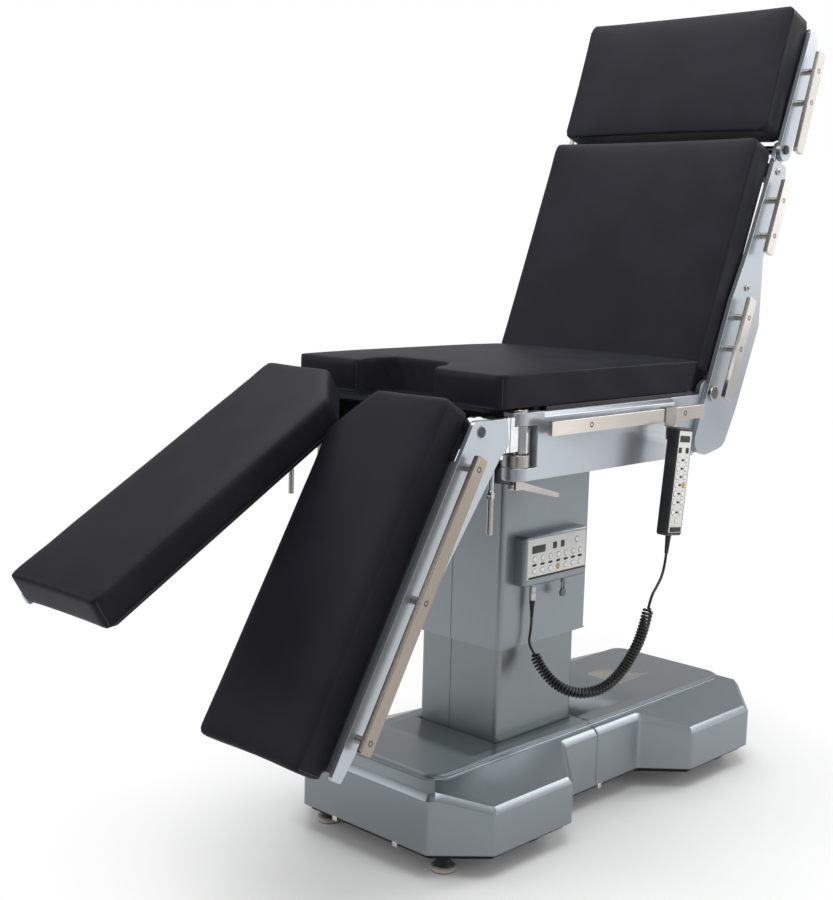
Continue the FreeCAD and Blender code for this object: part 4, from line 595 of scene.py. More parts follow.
def studio_floor():
    """Large square sheet on the ground: paper that the lamps light, up to SHADOW_END from the centre of the
    shadow, then plain white for camera rays from WHITE_FROM on."""
    half = 14.0
    material, shader, where = new_material("matt_white_paper", Roughness=0.9)
    fibre = noise(material, where, 3.0)
    set_inputs(
        material, shader, Base_Color=between(material, fibre, colour("#E9E9E9"), colour("#EDEDED")),
        Normal=bump(material, fibre, 0.05, 0.2),
    )
    seen = add_node(material, "LightPath").outputs["Is Camera Ray"]
    lift = add_node(material, "Math", {0: seen, 1: CAMERA_GLOW}, operation="MULTIPLY").outputs[0]
    glow = add_node(material, "Emission", {"Color": (1, 1, 1, 1), "Strength": lift}).outputs[0]
    near = add_node(material, "AddShader", {0: shader.outputs[0], 1: glow}).outputs[0]
    white = add_node(material, "Emission", {"Color": (1, 1, 1, 1), "Strength": 1.0}).outputs[0]
    ends = {0: where, 1: SHADOW_CENTRE}
    reach = add_node(material, "VectorMath", ends, operation="DISTANCE").outputs["Value"]
    away = add_node(
        material, "MapRange", {"Value": reach, "From Min": SHADOW_END, "From Max": WHITE_FROM},
        interpolation_type="SMOOTHSTEP",
    ).outputs[0]
    share = add_node(material, "Math", {0: away, 1: seen}, operation="MULTIPLY").outputs[0]
    whole = add_node(material, "MixShader", {0: share, 1: near, 2: white}).outputs[0]
    output = next(n for n in material.node_tree.nodes if n.type == "OUTPUT_MATERIAL")
    material.node_tree.links.new(whole, output.inputs["Surface"])
    corners = [(-half, -half, 0), (half, -half, 0), (half, half, 0), (-half, half, 0)]
    return finish_mesh("studio_floor", corners, [[0, 1, 2, 3]], material)


floor = studio_floor()

world = bpy.data.worlds.new("studio_world")
bpy.context.scene.world = world
world.use_nodes = True
world.node_tree.nodes.clear()
rays = add_node(world, "LightPath")
level = add_node(world, "MapRange", {"Value": rays.outputs["Is Camera Ray"], "To Min": 0.5}).outputs[0]
sky = add_node(world, "Background", {"Color": (1, 1, 1, 1), "Strength": level})
add_node(world, "OutputWorld", {"Surface": sky.outputs[0]})


def soft_box(name, place, aim, width, height, watts, tint="#FFFFFF"):
    """Rectangular studio light at a place, facing the aim."""
    data = bpy.data.lights.new(name, "AREA")
    data.shape = "RECTANGLE"
    data.size, data.size_y, data.energy = width, height, watts
    data.color = colour(tint)[:3]
    lamp = new_object(name, data)
    back = np.array(place, float) - np.array(aim, float)
    u, v, w = axes_for(back)
    turn = np.eye(4)
    turn[:3, :3] = np.array([u, v, w]).T
    turn[:3, 3] = place
    lamp.matrix_world = Matrix(turn.tolist())
    return lamp


soft_box("overhead_box", (0.0, 0.7, 3.3), (0.0, 0.0, 0.3), 2.6, 2.6, 64)
soft_box("camera_right_box", (0.9, -3.8, 1.9), (0.0, 0.0, 0.7), 2.0, 2.4, 24)
soft_box("leg_end_box", (-3.0, 2.5, 2.3), (-0.6, -0.1, 0.6), 1.8, 2.0, 26)
soft_box("head_side_box", (4.0, -2.4, 1.72), (0.2, -0.3, 1.1), 1.5, 2.1, 11)
soft_box("low_side_box", (2.15, -2.62, 0.40), (-0.2, -0.3, 0.8), 0.9, 0.5, 1.8)
soft_box("fold_box", (2.94, -1.4, 2.75), (0.0, -0.3, 0.15), 1.3, 1.3, 34)
soft_box("corner_box", (-0.75, -0.95, 3.0), (-0.2, -0.25, 0.15), 1.2, 1.5, 24)


def dark_card():
    """Black cloth card behind the camera, as a studio uses to give bare metal its dark edges. It isn't in
    the picture itself."""
    material, shader, where = new_material("black_felt", Roughness=0.95)
    nap = between(material, noise(material, where, 2.0), colour("#0B0B0B"), colour("#101010"))
    set_inputs(material, shader, Base_Color=nap)
    middle, side, up = np.array([-3.3, -2.9, 1.3]), np.array([0.66, -0.75, 0.0]), np.array([0.0, 0.0, 1.0])
    corners = [middle + 0.9 * a * side + 1.3 * b * up for a, b in ((-1, -1), (1, -1), (1, 1), (-1, 1))]
    card = finish_mesh("dark_card", corners, [[0, 1, 2, 3]], material)
    card.visible_camera = False
    return card


dark_card()
print("studio ready")

# %% [markdown]
# ## Rounded edges on the painted parts
#
# Sheet and plate edges on the real table are broken or folded, so each carries a thin highlight. The
# solids have plain edges. A copy of the part is merged, its flat faces are joined, and a Bevel modifier
# rounds what is sharper than 25 degrees. The copy stands for the solid and has exactly its outer size.

# %% Bevelled copies
SHARP_ANGLE = math.radians(25)


def merged_copy(node, name, material, join_flat=False):
    """A copy of a CAD node as a new object: doubled points merged and, if asked, flat faces joined."""
    mesh = frame["nodes"][node].data.copy()
    mesh.name = name
    form = bmesh.new()
    form.from_mesh(mesh)
    bmesh.ops.remove_doubles(form, verts=form.verts, dist=2e-6)
    if join_flat:
        bmesh.ops.dissolve_limit(form, angle_limit=math.radians(0.5), verts=form.verts, edges=form.edges)
    form.to_mesh(mesh)
    form.free()
    mesh.materials.clear()
    mesh.materials.append(material)
    return new_object(name, mesh)


def rounded_copy(node, slot, material, width_mm):
    """Copy of a CAD node with joined flat faces and a bevel on its sharp edges."""
    piece = merged_copy(node, node + "_rounded", material, join_flat=True)
    piece.data.shade_smooth()
    piece.data.set_sharp_from_angle(angle=SHARP_ANGLE)
    edge = piece.modifiers.new("rounded_edges", "BEVEL")
    edge.width, edge.segments = width_mm * MM, 2
    edge.limit_method, edge.angle_limit = "ANGLE", SHARP_ANGLE
    edge.harden_normals, edge.miter_outer = True, "MITER_ARC"
    return settle(piece, body_of_node[node], slot, node)


ROUNDED = [
    ("cover_paint", cover_paint, 0.8, "control_box"),
    ("frame_paint", frame_paint, 1.2, "seat_beam_left seat_beam_right"),
    ("frame_paint", frame_paint, 1.0, "leg_plate_left leg_plate_right"),
    ("frame_paint", frame_paint, 1.2, "back_plates"),
    ("frame_paint", frame_paint, 1.0, "head_plates"),
    ("stainless", steel_level, 0.8, "seat_rails"),
    ("stainless", steel_back, 0.8, "back_rails"),
    ("stainless", shaded_steel_head, 0.8, "head_rails"),
    ("stainless", shaded_steel_left_leg, 0.8, "leg_rail_left"),
    ("stainless", shaded_steel_right_leg, 0.8, "leg_rail_right"),
    ("chrome", ground_steel, 0.6, "cam_lever_left cam_lever_right"),
]
for slot, material, width, nodes in ROUNDED:
    for node in nodes.split():
        rounded_copy(node, slot, material, width)
print("rounded copies made")

# %% [markdown]
# ## Base covers
#
# The two covers are pressed from sheet: an eight-sided lobe at each end, a waist between them, a wall that
# folds over into a sloping roof by a band 12 mm wide, a small ledge, and a flat plateau round the column.
# The form is a stack of rings. Each ring follows the plan outline at the foot of the wall and goes over,
# ring by ring, to the outline of the plateau and then to the column's opening. The stack is cut in two at
# the seam and thickened inwards.

# %% Rings of the base
HALF_LENGTH, HALF_WIDTH = 502.0, 242.0
COVER_FOOT, WALL_MIDDLE, SHOULDER, PLATEAU_TOP = 45.0, 100.0, 165.0, 171.5
SHEET_THICKNESS = 3.5
PLATEAU_HALF = np.array([461.0, 138.0])
OPENING_CENTRE, OPENING_HALF = np.array([-140.0, 0.0]), np.array([115.0, 100.5])
ROOF_SLOPE = 0.36
COVER_SEAM, SEAM_HALF_GAP = -20.0, 0.8


def folded_outline(corners, reach, spacing):
    """Closed outline through the corners in order; each corner is a curve (1-t)^2 a + 2t(1-t) c + t^2 b
    between points a and b that lie at the reach before and after it. Straight runs are divided evenly."""
    corners = np.asarray(corners, float)
    step = np.linspace(0, 1, 7)[:, None]
    pieces = []
    for before, corner, after in zip(np.roll(corners, 1, 0), corners, np.roll(corners, -1, 0)):
        a = corner + reach * (before - corner) / np.linalg.norm(before - corner)
        b = corner + reach * (after - corner) / np.linalg.norm(after - corner)
        pieces.append((1 - step) ** 2 * a + 2 * step * (1 - step) * corner + step ** 2 * b)
    outline = []
    for piece, after in zip(pieces, pieces[1:] + pieces[:1]):
        gap = np.linalg.norm(after[0] - piece[-1])
        parts = np.linspace(piece[-1], after[0], max(2, int(gap / spacing)))[1:-1]
        outline += [piece, parts]
    return np.concatenate(outline)


def nearest_on_rectangle(points, centre, half, corner):
    """Closest point of a rectangle with round corners: the point is clamped to the inner rectangle and
    moved out from there by the corner radius."""
    inner = centre + np.clip(points - centre, -(half - corner), half - corner)
    out = points - inner
    return inner + corner * out / np.linalg.norm(out, axis=1)[:, None]


def roof_height(plan):
    """Height of the sloping roof: the lower of two slopes that start at the plateau's sides and ends."""
    over = np.clip(np.abs(plan) - PLATEAU_HALF, 0, None).max(1)
    return SHOULDER - ROOF_SLOPE * over


quarter = [(HALF_LENGTH, 158.0), (415.0, HALF_WIDTH), (198.0, HALF_WIDTH), (121.5, 163.0)]
left_side = quarter + [(-x, y) for x, y in reversed(quarter)]
base_corners = left_side + [(-x, -y) for x, y in left_side]
plan = folded_outline(base_corners, 6.0, 7.0)
inward = inward_of(plan)
rings = [ring_at(plan, height) for height in (COVER_FOOT, COVER_FOOT + 2, WALL_MIDDLE)]
FOLD = [(0.0, 0.0), (0.15, 1.2), (0.9, 2.6), (9.2, 11.6), (10.6, 12.7), (12.4, 13.3)]
fold_end = plan + inward * FOLD[-1][0]
fold_foot = roof_height(fold_end) - FOLD[-1][1]
for inset, height in FOLD:
    rings.append(ring_at(plan + inward * inset, fold_foot + height))
centre = np.zeros(2)
rim = nearest_on_rectangle(plan, centre, PLATEAU_HALF, 30.0)
ledge = nearest_on_rectangle(plan, centre, PLATEAU_HALF + 7.0, 37.0)
for share in np.linspace(0, 1, 9)[1:]:
    place = fold_end + share * (ledge - fold_end)
    rings.append(ring_at(place, roof_height(place)))
STEP = [
    (7.0, 165.2), (6.2, 166.0), (0.4, 166.0), (0.0, 166.4), (0.0, 168.5), (-0.9, 170.7), (-3.0, PLATEAU_TOP),
]
for grow, height in STEP:
    place = nearest_on_rectangle(plan, centre, PLATEAU_HALF + grow, 30.0 + grow)
    rings.append(ring_at(place, height))
opening = nearest_on_rectangle(rim, OPENING_CENTRE, OPENING_HALF, 1.0)
for share in (0.5, 1.0):
    place = rings[-1][:, :2] * (1 - share) + opening * share
    rings.append(ring_at(place, PLATEAU_TOP))
shell_points = np.concatenate(rings) * MM
shell_faces = grid_faces(len(rings), len(plan))
print("base outline", len(plan), "points,", len(rings), "rings")


# %% Two covers from the rings
def base_cover(node, side):
    """The half of the shell on one side of the seam, thickened inwards."""
    piece = finish_mesh(node + "_shell", shell_points, shell_faces, cover_paint, 16)
    form = bmesh.new()
    form.from_mesh(piece.data)
    bmesh.ops.bisect_plane(
        form, geom=form.verts[:] + form.edges[:] + form.faces[:], dist=1e-6,
        plane_co=((COVER_SEAM + side * SEAM_HALF_GAP) * MM, 0, 0), plane_no=(side, 0, 0), clear_inner=True,
    )
    form.to_mesh(piece.data)
    form.free()
    wall = piece.modifiers.new("sheet", "SOLIDIFY")
    wall.thickness, wall.offset = SHEET_THICKNESS * MM, -1.0
    return settle(piece, "base", "cover_paint", node)


for node, side in (("front_base_cover", -1), ("rear_base_cover", 1)):
    print(base_cover(node, side).name, "made")

# %% Finishes of the nodes that stay
NODE_FINISH = [
    (cover_paint, "column_upper_cover"),
    (sleeve_paint, "column_lower_cover"),
    (dark_paint, "base_chassis hydraulic_pack seat_cross_members back_cross_members column_head tilt_yoke"),
    (ground_steel, "seat_rail_posts leg_rail_posts_left leg_rail_posts_right back_rail_posts head_rail_posts"),
    (ground_steel, "handset_clip lift_ram lift_guide back_hinge_pins cord_plug crown_rings clamp_rods"),
    (ground_steel, "lock_handle_left lock_handle_right"),
    (dull_steel, "head_hinge_bar"),
    (chrome, "swivel_arm_left swivel_arm_right"),
    (black_rubber, "levelling_foot_1 levelling_foot_2 levelling_foot_3 levelling_foot_4"),
    (laminate, "seat_board leg_board_left leg_board_right back_board head_board"),
    (black_abs, "handset"),
    (grey_rubber, "dust_cap"),
]
for material, nodes in NODE_FINISH:
    for node in nodes.split():
        for place in frame["nodes"][node].material_slots:
            place.material = material
print("nodes painted")

# %% [markdown]
# ## Keypads
#
# The control box and the hand control carry printed membrane films in a shallow bed. A film is laid out in
# its own plane: across, up and out of the face. Keys are low domes in a ring, displays are dark windows, and
# nothing is lettered. The same drawing tools serve both.

# %% Keypad finishes
def film(name, base, light, roughness):
    """Printed polyester film or a moulded key: an even colour with slight cloudiness over 25 mm and a fine
    texture of 0.5 mm."""
    return moulded(name, base, light, roughness, 0.5, 0.01)


film_grey = film("polyester_film_pale_grey", "#D3D3CF", "#D8D8D4", 0.42)
film_black = film("polyester_film_black", "#09090A", "#0C0C0D", 0.50)
key_white = film("silicone_key_white", "#E9E8E4", "#EDECE8", 0.45)
key_ring = film("silicone_key_ring_grey", "#38393B", "#3F4042", 0.45)
key_yellow = film("silicone_key_yellow", "#CF9A1E", "#D5A228", 0.42)
display_glass = film("acrylic_display_window_dark", "#0E1115", "#12161B", 0.30)
print("keypad finishes ready")


# %% Drawing on a face
def on_face(points, corner, right, up, out):
    """Points given as across, up and out in millimetres, carried to a face in space."""
    axes = np.array([right, up, out], float)
    return np.asarray(corner, float) + np.asarray(points, float) * MM @ axes


def keypad(name, body, corner, right, up, out, pieces):
    """One object per finish; each piece is (finish, outline, low, high, edge) in the film's own plane."""
    finishes = []
    for finish, *_ in pieces:
        if finish not in finishes:
            finishes.append(finish)
    for finish in finishes:
        parts = [
            (on_face(points, corner, right, up, out), faces)
            for points, faces in (slab(o, low, high, edge) for f, o, low, high, edge in pieces if f == finish)
        ]
        slot = "handset_plastic" if body == "seat" else "dark_paint"
        settle(finish_mesh(f"{name}_{finish.name}", *joined(parts), finish, 40), body, slot)


def key(at, width, height, cap=None, ring=1.0):
    """A key: a ring that stands 0.3 mm proud and a domed cap that stands 0.9 mm proud."""
    at = np.asarray(at, float)
    return [
        (key_ring, at + oval(width + 2 * ring, height + 2 * ring), 0.2, 0.55, 0.2),
        (cap or key_white, at + oval(width, height), 0.3, 1.1, 0.4),
    ]


def window(at, width, height, finish=None):
    """A dark display window with round corners."""
    return (finish or display_glass, np.asarray(at, float) + rounded_box(width, height, 1.2), 0.2, 0.6, 0.15)


# %% Keypad of the control box
BOX = np.array([176.0, 76.0])
box_pieces = [
    (film_grey, BOX / 2 + rounded_box(*BOX, 3.0), 0.0, 0.45, 0.15),
    (film_black, BOX * (0.51, 0.037) + rounded_box(BOX[0] * 0.97, 4.2, 1.2), 0.3, 0.6, 0.1),
]
BOX_WINDOWS = [(0.183, 0.735, 0.225, 0.19), (0.455, 0.755, 0.07, 0.17), (0.588, 0.755, 0.065, 0.17)]
for u, v, width, height in BOX_WINDOWS:
    box_pieces.append(window(BOX * (u, v), *BOX * (width, height)))
box_pieces += key(BOX * (0.84, 0.79), 9.8, 9.8, key_white, 1.3)
for column, u in enumerate((0.117, 0.254, 0.388, 0.52, 0.65, 0.777, 0.90)):
    box_pieces += key(BOX * (u, 0.50), 9.2, 9.2)
    box_pieces.append((film_black, BOX * (u, 0.35) + oval(14.0, 5.0), 0.2, 0.6, 0.15))
    box_pieces += key(BOX * (u, 0.20), 9.2, 9.2, key_yellow if column == 3 else None)
box_corner = np.array([-215.0, -127.2, 483.0]) * MM
keypad("box_keypad", "column", box_corner, HEADWARD, UP, NEAR, box_pieces)
print(len(box_pieces), "pieces on the control box")

# %% Keypad of the hand control
HAND = np.array([42.0, 187.0])
hand_right = np.array([math.cos(HANDSET_LEAN), 0, -math.sin(HANDSET_LEAN)])
hand_up = np.array([math.sin(HANDSET_LEAN), 0, math.cos(HANDSET_LEAN)])
hand_corner = HANDSET_PIVOT + (-21.0 * hand_right - 193.0 * hand_up + np.array([0, -11.7, 0])) * MM
hand_pieces = [
    (film_grey, HAND / 2 + rounded_box(*HAND, 3.0), 0.0, 0.45, 0.15),
    (film_black, HAND * (0.52, 0.03) + rounded_box(HAND[0] * 0.86, 9.0, 1.2), 0.3, 0.6, 0.1),
    window(HAND * (0.485, 0.922), *HAND * (0.77, 0.065)),
    window(HAND * (0.195, 0.81), *HAND * (0.25, 0.055), film_black),
    window(HAND * (0.745, 0.81), *HAND * (0.25, 0.055), film_black),
]
for row, v in enumerate((0.284, 0.369, 0.45, 0.53, 0.616, 0.70, 0.80)):
    hand_pieces += key(HAND * (0.2, 1 - v), 9.0, 9.0)
    hand_pieces += key(HAND * (0.77, 1 - v), 9.0, 9.0, key_yellow if row == 3 else None)
    hand_pieces.append((film_black, HAND * (0.485, 1 - v) + oval(9.5, 4.2), 0.2, 0.6, 0.15))
hand_pieces += key(HAND * (0.5, 0.12), 8.0, 8.0)
keypad("hand_keypad", "seat", hand_corner, hand_right, hand_up, NEAR, hand_pieces)
print(len(hand_pieces), "pieces on the hand control")

# %% [markdown]
# ## Screws, bolts and small fittings
#
# Each rail post ends in a countersunk socket screw on the face of the rail, and each side plate of the back
# carries two bolts. They are turned profiles: a rim, a shallow dish and a deep socket. A level place on a
# section becomes a place in space by the section's lean and its hinge.

# %% Screws on the rails
SECTIONS = {
    "seat": (0.0, (0.0, 0.0)), "back": (BACK_LEAN, (166.0, 822.0)), "head": (HEAD_LEAN, (389.52, 1299.27)),
    "leg_left": (LEFT_LEG_LEAN, (-511.0, 798.5)), "leg_right": (RIGHT_LEG_LEAN, (-511.0, 798.5)),
}
SCREW = [(0.0, -2.6), (2.3, -2.6), (2.3, -0.4), (3.3, 0.35), (4.6, 0.35), (5.2, -0.1), (5.2, -0.8)]
BOLT = [(0.0, 1.0), (3.0, 1.0), (3.0, 3.2), (5.6, 3.2), (6.6, 2.4), (6.6, -0.3)]


def section_place(section, x, y, z):
    """A level place on a section, in metres in space."""
    lean, hinge = SECTIONS[section]
    point = leaned(np.array([[x, y, z]], float), lean)[0]
    return (point + np.array([hinge[0], 0, hinge[1]])) * MM


def fittings(name, section, sides, profile, material, slot, places):
    """Turned heads on the outer faces; each place is (x, distance from the middle, z) on the level section."""
    heads = [
        turned(profile, section_place(section, x, side * y, z), (0, side, 0), 24)
        for side in sides for x, y, z in places
    ]
    return settle(finish_mesh(name, *joined(heads), material, 40), section, slot)


RAIL_FACE = 290.0
RAIL_SCREWS = {
    "seat": [(-255, RAIL_FACE, 795), (34, RAIL_FACE, 795)],
    "back": [(98, RAIL_FACE, -17), (163, RAIL_FACE, -17), (340, RAIL_FACE, -31), (415, RAIL_FACE, -31)],
    "head": [(103, RAIL_FACE, -8), (170, RAIL_FACE, -8)],
}
LEG_SCREWS = [(-64, RAIL_FACE, 3), (-292, RAIL_FACE, 3), (-520, RAIL_FACE, 3)]
PIN_CAP = [(0, 0.9), (8.6, 0.9), (9.4, 0.3), (9.4, -0.5)]
for section, places in RAIL_SCREWS.items():
    fittings(section + "_rail_screws", section, (-1, 1), SCREW, dull_steel, "steel", places)
fittings("back_plate_bolts", "back", (-1, 1), BOLT, ground_steel, "steel", [(227, 262, -25), (475, 262, -27)])
for name, side in (("left", -1), ("right", 1)):
    fittings(f"leg_rail_screws_{name}", f"leg_{name}", (side,), SCREW, dull_steel, "steel", LEG_SCREWS)
    pin_end = np.array([-511.0, side * 263.0, 798.5]) * MM
    pin_cap = turned(PIN_CAP, pin_end, (0, side, 0), 40)
    settle(finish_mesh(f"pitch_pin_cap_{name}", *pin_cap, dull_steel, 40), f"swivel_{name}", "steel")
print("screws and bolts set")


# %% Plates, seams and clips
def plate(name, body, slot, material, corner, right, up, out, width, height, thick, radius=0.6):
    """A thin plate on a face; its corner is the lower left one."""
    outline = [width / 2, height / 2] + rounded_box(width, height, radius)
    points, faces = slab(outline, -0.3, thick, min(0.3, thick / 2))
    place = on_face(points, np.array(corner) * MM, right, up, out)
    return settle(finish_mesh(name, place, faces, material, 40), body, slot)


LOWER_FACE, UPPER_FACE = -254.0, -257.0
plate("base_bare_plate", "base", "stainless", ground_steel, (229, -33, PLATEAU_TOP), HEADWARD, (0, 1, 0), UP,
      110, 88, 0.8, 3.0)
plate("column_seam_lower", "base", "dark_paint", dark_paint, (LOWER_FACE, 20.6, 172), NEAR, UP, FOOTWARD,
      1.2, 179, 0.12, 0.3)
plate("column_seam_upper", "column", "dark_paint", dark_paint, (UPPER_FACE, 20.6, 352), NEAR, UP, FOOTWARD,
      1.2, 311, 0.12, 0.3)
for number, y in enumerate((72.0, -83.0)):
    plate(f"cover_clip_front_{number}", "base", "stainless", steel_level, (-502.2, y + 6, 38),
          NEAR, UP, FOOTWARD, 12, 9, 1.2)
plate("cover_clip_side", "base", "stainless", steel_level, (-14, -163.2, 38), HEADWARD, UP, NEAR,
      12, 9, 1.2)
BARREL = [
    (0.0, 469.5), (5.0, 469.5), (5.0, 466.0), (6.0, 465.5), (6.0, 455.0), (5.6, 454.6), (5.6, 453.4),
    (6.0, 453.0), (6.0, 440.0), (5.5, 439.0), (0.0, 439.0),
]
BOOT = [
    (0.0, 440.5), (5.0, 440.5), (5.4, 438.5), (5.3, 433.0), (4.3, 430.0), (4.7, 429.0), (4.5, 426.0),
    (3.8, 425.0), (4.2, 424.0), (4.0, 421.0), (3.4, 420.0), (3.8, 419.0), (3.6, 416.0), (3.1, 415.0),
    (3.3, 414.0), (3.0, 407.0), (0.0, 407.0),
]
plug_axis = np.array([-181.0, -115.0, 0.0]) * MM
for name, profile, material, slot, nodes in (
    ("plug_barrel", BARREL, ground_steel, "steel", ("cord_plug",)),
    ("plug_boot", BOOT, black_rubber, "rubber", ()),
):
    piece = turned(profile[::-1], plug_axis, UP, 32)
    settle(finish_mesh(name, *piece, material, 30), "column", slot, *nodes)


def strip(name, body, centre, size, low, high, section=None):
    """A flat laminate strip on top of a board; section leans it with a leg. On the seat it is partly painted
    shade.
    """
    points, faces = slab(np.array(centre) + rounded_box(*size, 2.0), low, high, 0.5)
    if section:
        lean, hinge = SECTIONS[section]
        points = leaned(points, lean) + np.array([hinge[0], 0, hinge[1]])
    return settle(finish_mesh(name, points * MM, faces, laminate, 40), body, "board")


# Partly painted shade: these dark strips cover the beam tops and the seat's rear edge, where the board's black
# edge meets the shade under the cushion's overhang.
strip("seat_board_and_shade_rear_strip", "seat", (109.0, 0.0), (24.0, 472.0), 820.3, 827.6)
for side, name in ((-1, "left"), (1, "right")):
    leg = f"leg_{name}"
    strip(f"seat_board_side_strip_{name}", "seat", (-116.0, side * 242.0), (428.0, 14.0), 820.3, 827.6)
    strip(f"leg_board_packing_{name}", leg, (-31.0, side * 226.5), (58.0, 27.0), 10.3, 21.6, leg)
DISC = [(0.0, 0.4), (21.0, 0.4), (22.6, 1.6), (22.6, 7.0), (21.6, 8.0), (21.6, 9.3), (0.0, 9.3)]
for number in (1, 2, 3, 4):
    box_low, box_high = (np.array(corner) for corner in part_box(f"levelling_foot_{number}"))
    under = np.array([*((box_low + box_high) / 2)[:2], 0.0])
    pad = turned(DISC[::-1], under, UP, 40)
    settle(finish_mesh(f"foot_pad_{number}", *pad, foot_nylon, 30), f"foot_{number}", "rubber")

print("plates and clips set")

# %% [markdown]
# ## Cushions
#
# Each cushion is a block of foam under tight vinyl: flat underneath, crowned on top, its sides drawn in a
# little between the corners, its edges crisp. The solid is laid level, remeshed evenly, smoothed along its
# edges and blown up as cloth for twenty frames. A capped part of that motion gives the pull of the cover,
# and a low crown is added over the whole top. The side plates stand 2 mm from the foam, so the cover keeps
# within 1 mm of it there. Then the cushion is leaned back to its place.

# %% Cushion forms
CAP, PULL_SHARE = 2.2 * MM, 0.8
OVER, DRAWN_IN = 2.2 * MM, 1.6 * MM
PLATE_ROOM = 1.0 * MM
VOXEL = 5.0 * MM
CLOTH_FRAMES = 20
UNDERSIDE = 8 * MM


def store(mesh, points):
    """Writes the points back."""
    mesh.vertices.foreach_set("co", np.ascontiguousarray(points).ravel())
    mesh.update()


def apply_modifiers(piece):
    """The piece's mesh with its modifiers worked in."""
    depsgraph = bpy.context.evaluated_depsgraph_get()
    mesh = bpy.data.meshes.new_from_object(piece.evaluated_get(depsgraph))
    piece.modifiers.clear()
    piece.data = mesh


def blow_up(piece):
    """Twenty frames of cloth under inside pressure without gravity."""
    cloth = piece.modifiers.new("cover", "CLOTH")
    cloth.settings.use_pressure = True
    cloth.settings.uniform_pressure_force = 4.0
    cloth.settings.effector_weights.gravity = 0.0
    cloth.settings.tension_stiffness = cloth.settings.compression_stiffness = 25.0
    cloth.point_cache.frame_start, cloth.point_cache.frame_end = 1, CLOTH_FRAMES
    for step in range(1, CLOTH_FRAMES + 1):
        bpy.context.scene.frame_set(step)
    apply_modifiers(piece)
    bpy.context.scene.frame_set(1)


def smoothed(piece, values, times):
    """Values at the points, averaged with their neighbours along the edges so many times."""
    edges = np.empty(len(piece.data.edges) * 2, dtype=np.int64)
    piece.data.edges.foreach_get("vertices", edges)
    first, second = edges.reshape(-1, 2).T
    count = np.bincount(edges, minlength=len(values))[:, None]
    for _ in range(times):
        total = np.column_stack([
            np.bincount(first, column[second], len(column)) + np.bincount(second, column[first], len(column))
            for column in values.T
        ])
        values = 0.5 * values + 0.5 * total / count
    return values


def cushion(node, lean_deg, crown_mm, gathers=None, reach_mm=0.0):
    """Foam cushion made from its solid, leaned by lean_deg; gathers adds wrinkles in the level frame, and the
    cover of the -X end stands out by reach_mm."""
    piece = merged_copy(node, node + "_vinyl", vinyl)
    level = leaned(coordinates(piece.data), -lean_deg)
    store(piece.data, level)
    low, high = level.min(0), level.max(0)
    remesh = piece.modifiers.new("even", "REMESH")
    remesh.mode, remesh.voxel_size = "VOXEL", VOXEL
    apply_modifiers(piece)
    start = smoothed(piece, coordinates(piece.data), 1)
    store(piece.data, start)
    pull = np.zeros_like(start)
    blow_up(piece)
    moved = smoothed(piece, coordinates(piece.data) - start, 6)
    far = np.linalg.norm(moved, axis=1)[:, None]
    pull = moved * np.minimum(1, CAP / np.maximum(far, 1e-9)) * PULL_SHARE
    centre, half = (low + high) / 2, (high - low) / 2
    across = (start - centre) / half
    rise = np.clip((start[:, 2] - low[2]) / (high[2] - low[2]), 0, 1)
    bulge = np.clip(1 - across[:, 0] ** 4, 0, 1) * np.clip(1 - across[:, 1] ** 4, 0, 1)
    shaped = start + pull
    shaped[:, 0] += across[:, 0] * (OVER - DRAWN_IN * np.clip(1 - across[:, 1] ** 2, 0, 1))
    shaped[:, 0] -= reach_mm * MM * np.clip(-across[:, 0], 0, 1) ** 4
    shaped[:, 1] += across[:, 1] * (OVER - DRAWN_IN * np.clip(1 - across[:, 0] ** 2, 0, 1))
    shaped[:, 2] += rise ** 2 * (0.8 * MM + crown_mm * MM * bulge)
    if gathers:
        shaped = gathers(shaped)
    shaped[:, 1] = np.clip(shaped[:, 1], low[1] - PLATE_ROOM, high[1] + PLATE_ROOM)
    flat = np.clip((low[2] + UNDERSIDE - start[:, 2]) / UNDERSIDE, 0, 1)
    shaped[:, 2] = np.maximum(shaped[:, 2] * (1 - flat ** 2) + low[2] * flat ** 2, low[2])
    store(piece.data, leaned(shaped, lean_deg))
    piece.data.shade_smooth()
    settle(piece, body_of_node[node], "upholstery", node)
    print(piece.name, len(piece.data.polygons), "faces")
    return piece


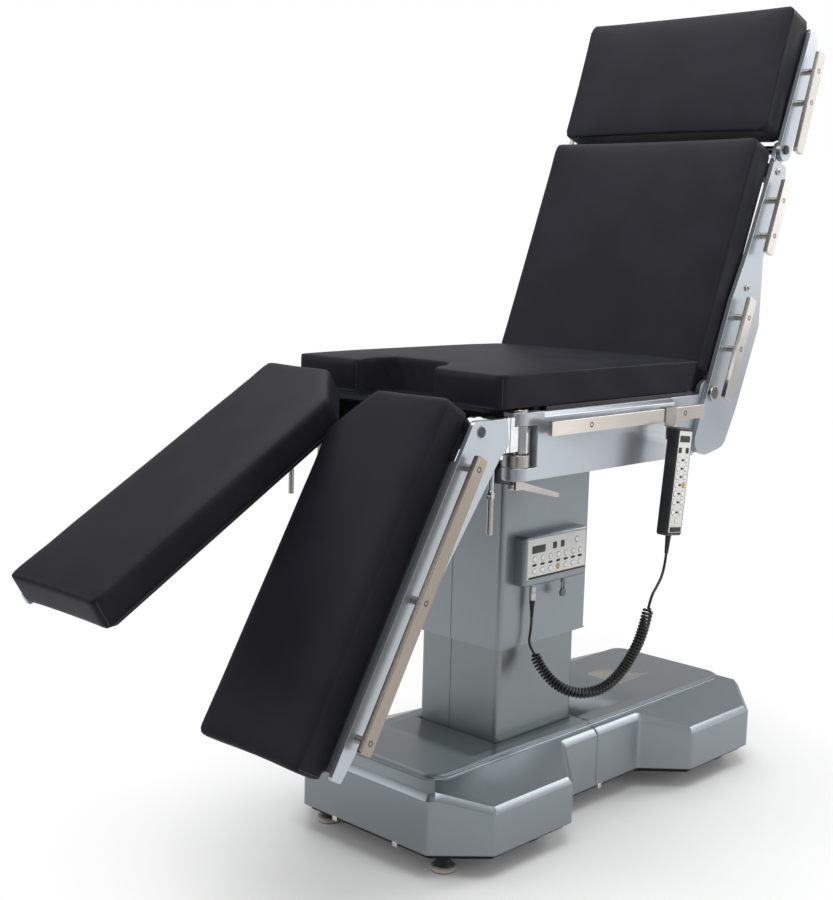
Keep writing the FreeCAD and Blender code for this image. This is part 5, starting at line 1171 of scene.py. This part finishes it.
def seat_gathers(points):
    """Five slanted folds of the cover on the inner wall of the seat's cut-out, and two faint waves along the
    near side: the point moves along X or Y by a rounded saw of its place along the wall."""
    x, y, z = points.T
    inner = np.clip((-0.372 - x) / 0.012, 0, 1) * np.clip((0.098 - np.abs(y)) / 0.012, 0, 1)
    tall = np.clip((z - 0.832) / 0.012, 0, 1) * np.clip((0.884 - z) / 0.010, 0, 1)
    fold = np.abs(np.sin(np.pi * (y - 0.35 * (z - 0.83)) / 0.030)) ** 0.6 - 0.6
    moved = points.copy()
    moved[:, 0] += 3.0 * MM * inner * tall * fold
    side = np.clip((-0.240 - y) / 0.008, 0, 1) * tall
    moved[:, 1] += 1.2 * MM * side * np.sin(2 * np.pi * (x + 0.6 * (z - 0.83)) / 0.16)
    return moved


seat_pad = cushion("seat_cushion", 0.0, 8.0, seat_gathers)
left_leg_pad = cushion("leg_cushion_left", LEFT_LEG_LEAN, 5.0, reach_mm=5.0)
right_leg_pad = cushion("leg_cushion_right", RIGHT_LEG_LEAN, 7.0, reach_mm=6.0)
cushion("back_cushion", BACK_LEAN, 6.0)
cushion("head_cushion", HEAD_LEAN, 5.0)

# %% Seams of the cushion covers
def seam(name, pad, body, route_mm, lean_deg=0.0, shift=(0, 0, 0)):
    """Sewn seam: a thin welt that follows the cushion's skin along a level route, each point put on the
    nearest place of the skin."""
    route = np.array(route_mm) * MM
    steps = np.linspace(0, len(route) - 1, 40)
    path = np.column_stack([np.interp(steps, np.arange(len(route)), route[:, k]) for k in range(3)])
    path = leaned(path, lean_deg) + np.array(shift)
    skin = np.array([pad.closest_point_on_mesh(point)[1][:] for point in path.tolist()])
    welt = finish_mesh(name, *tube(skin, np.array([0.31, 0.87, 0.38]), 0.9 * MM, 8), seam_vinyl, 60)
    return settle(welt, body, "upholstery")


leg_shift = (-0.511, 0.0, 0.7985)
for name, x, y in (
    ("near_corner", -444, -246), ("far_corner", -444, 246), ("cut_near", -446, -97), ("cut_far", -446, 97),
):
    seam("seat_seam_" + name, seat_pad, "seat", [(x, y, 832), (x, y, 880)])
for side, name, pad, lean in (
    (-1, "left", left_leg_pad, LEFT_LEG_LEAN), (1, "right", right_leg_pad, RIGHT_LEG_LEAN),
):
    for place, y in (("outer", side * 236), ("inner", side * 6)):
        seam(f"leg_seam_{name}_{place}", pad, f"leg_{name}", [(-593, y, 27), (-593, y, 72)], lean, leg_shift)
print("seams sewn")
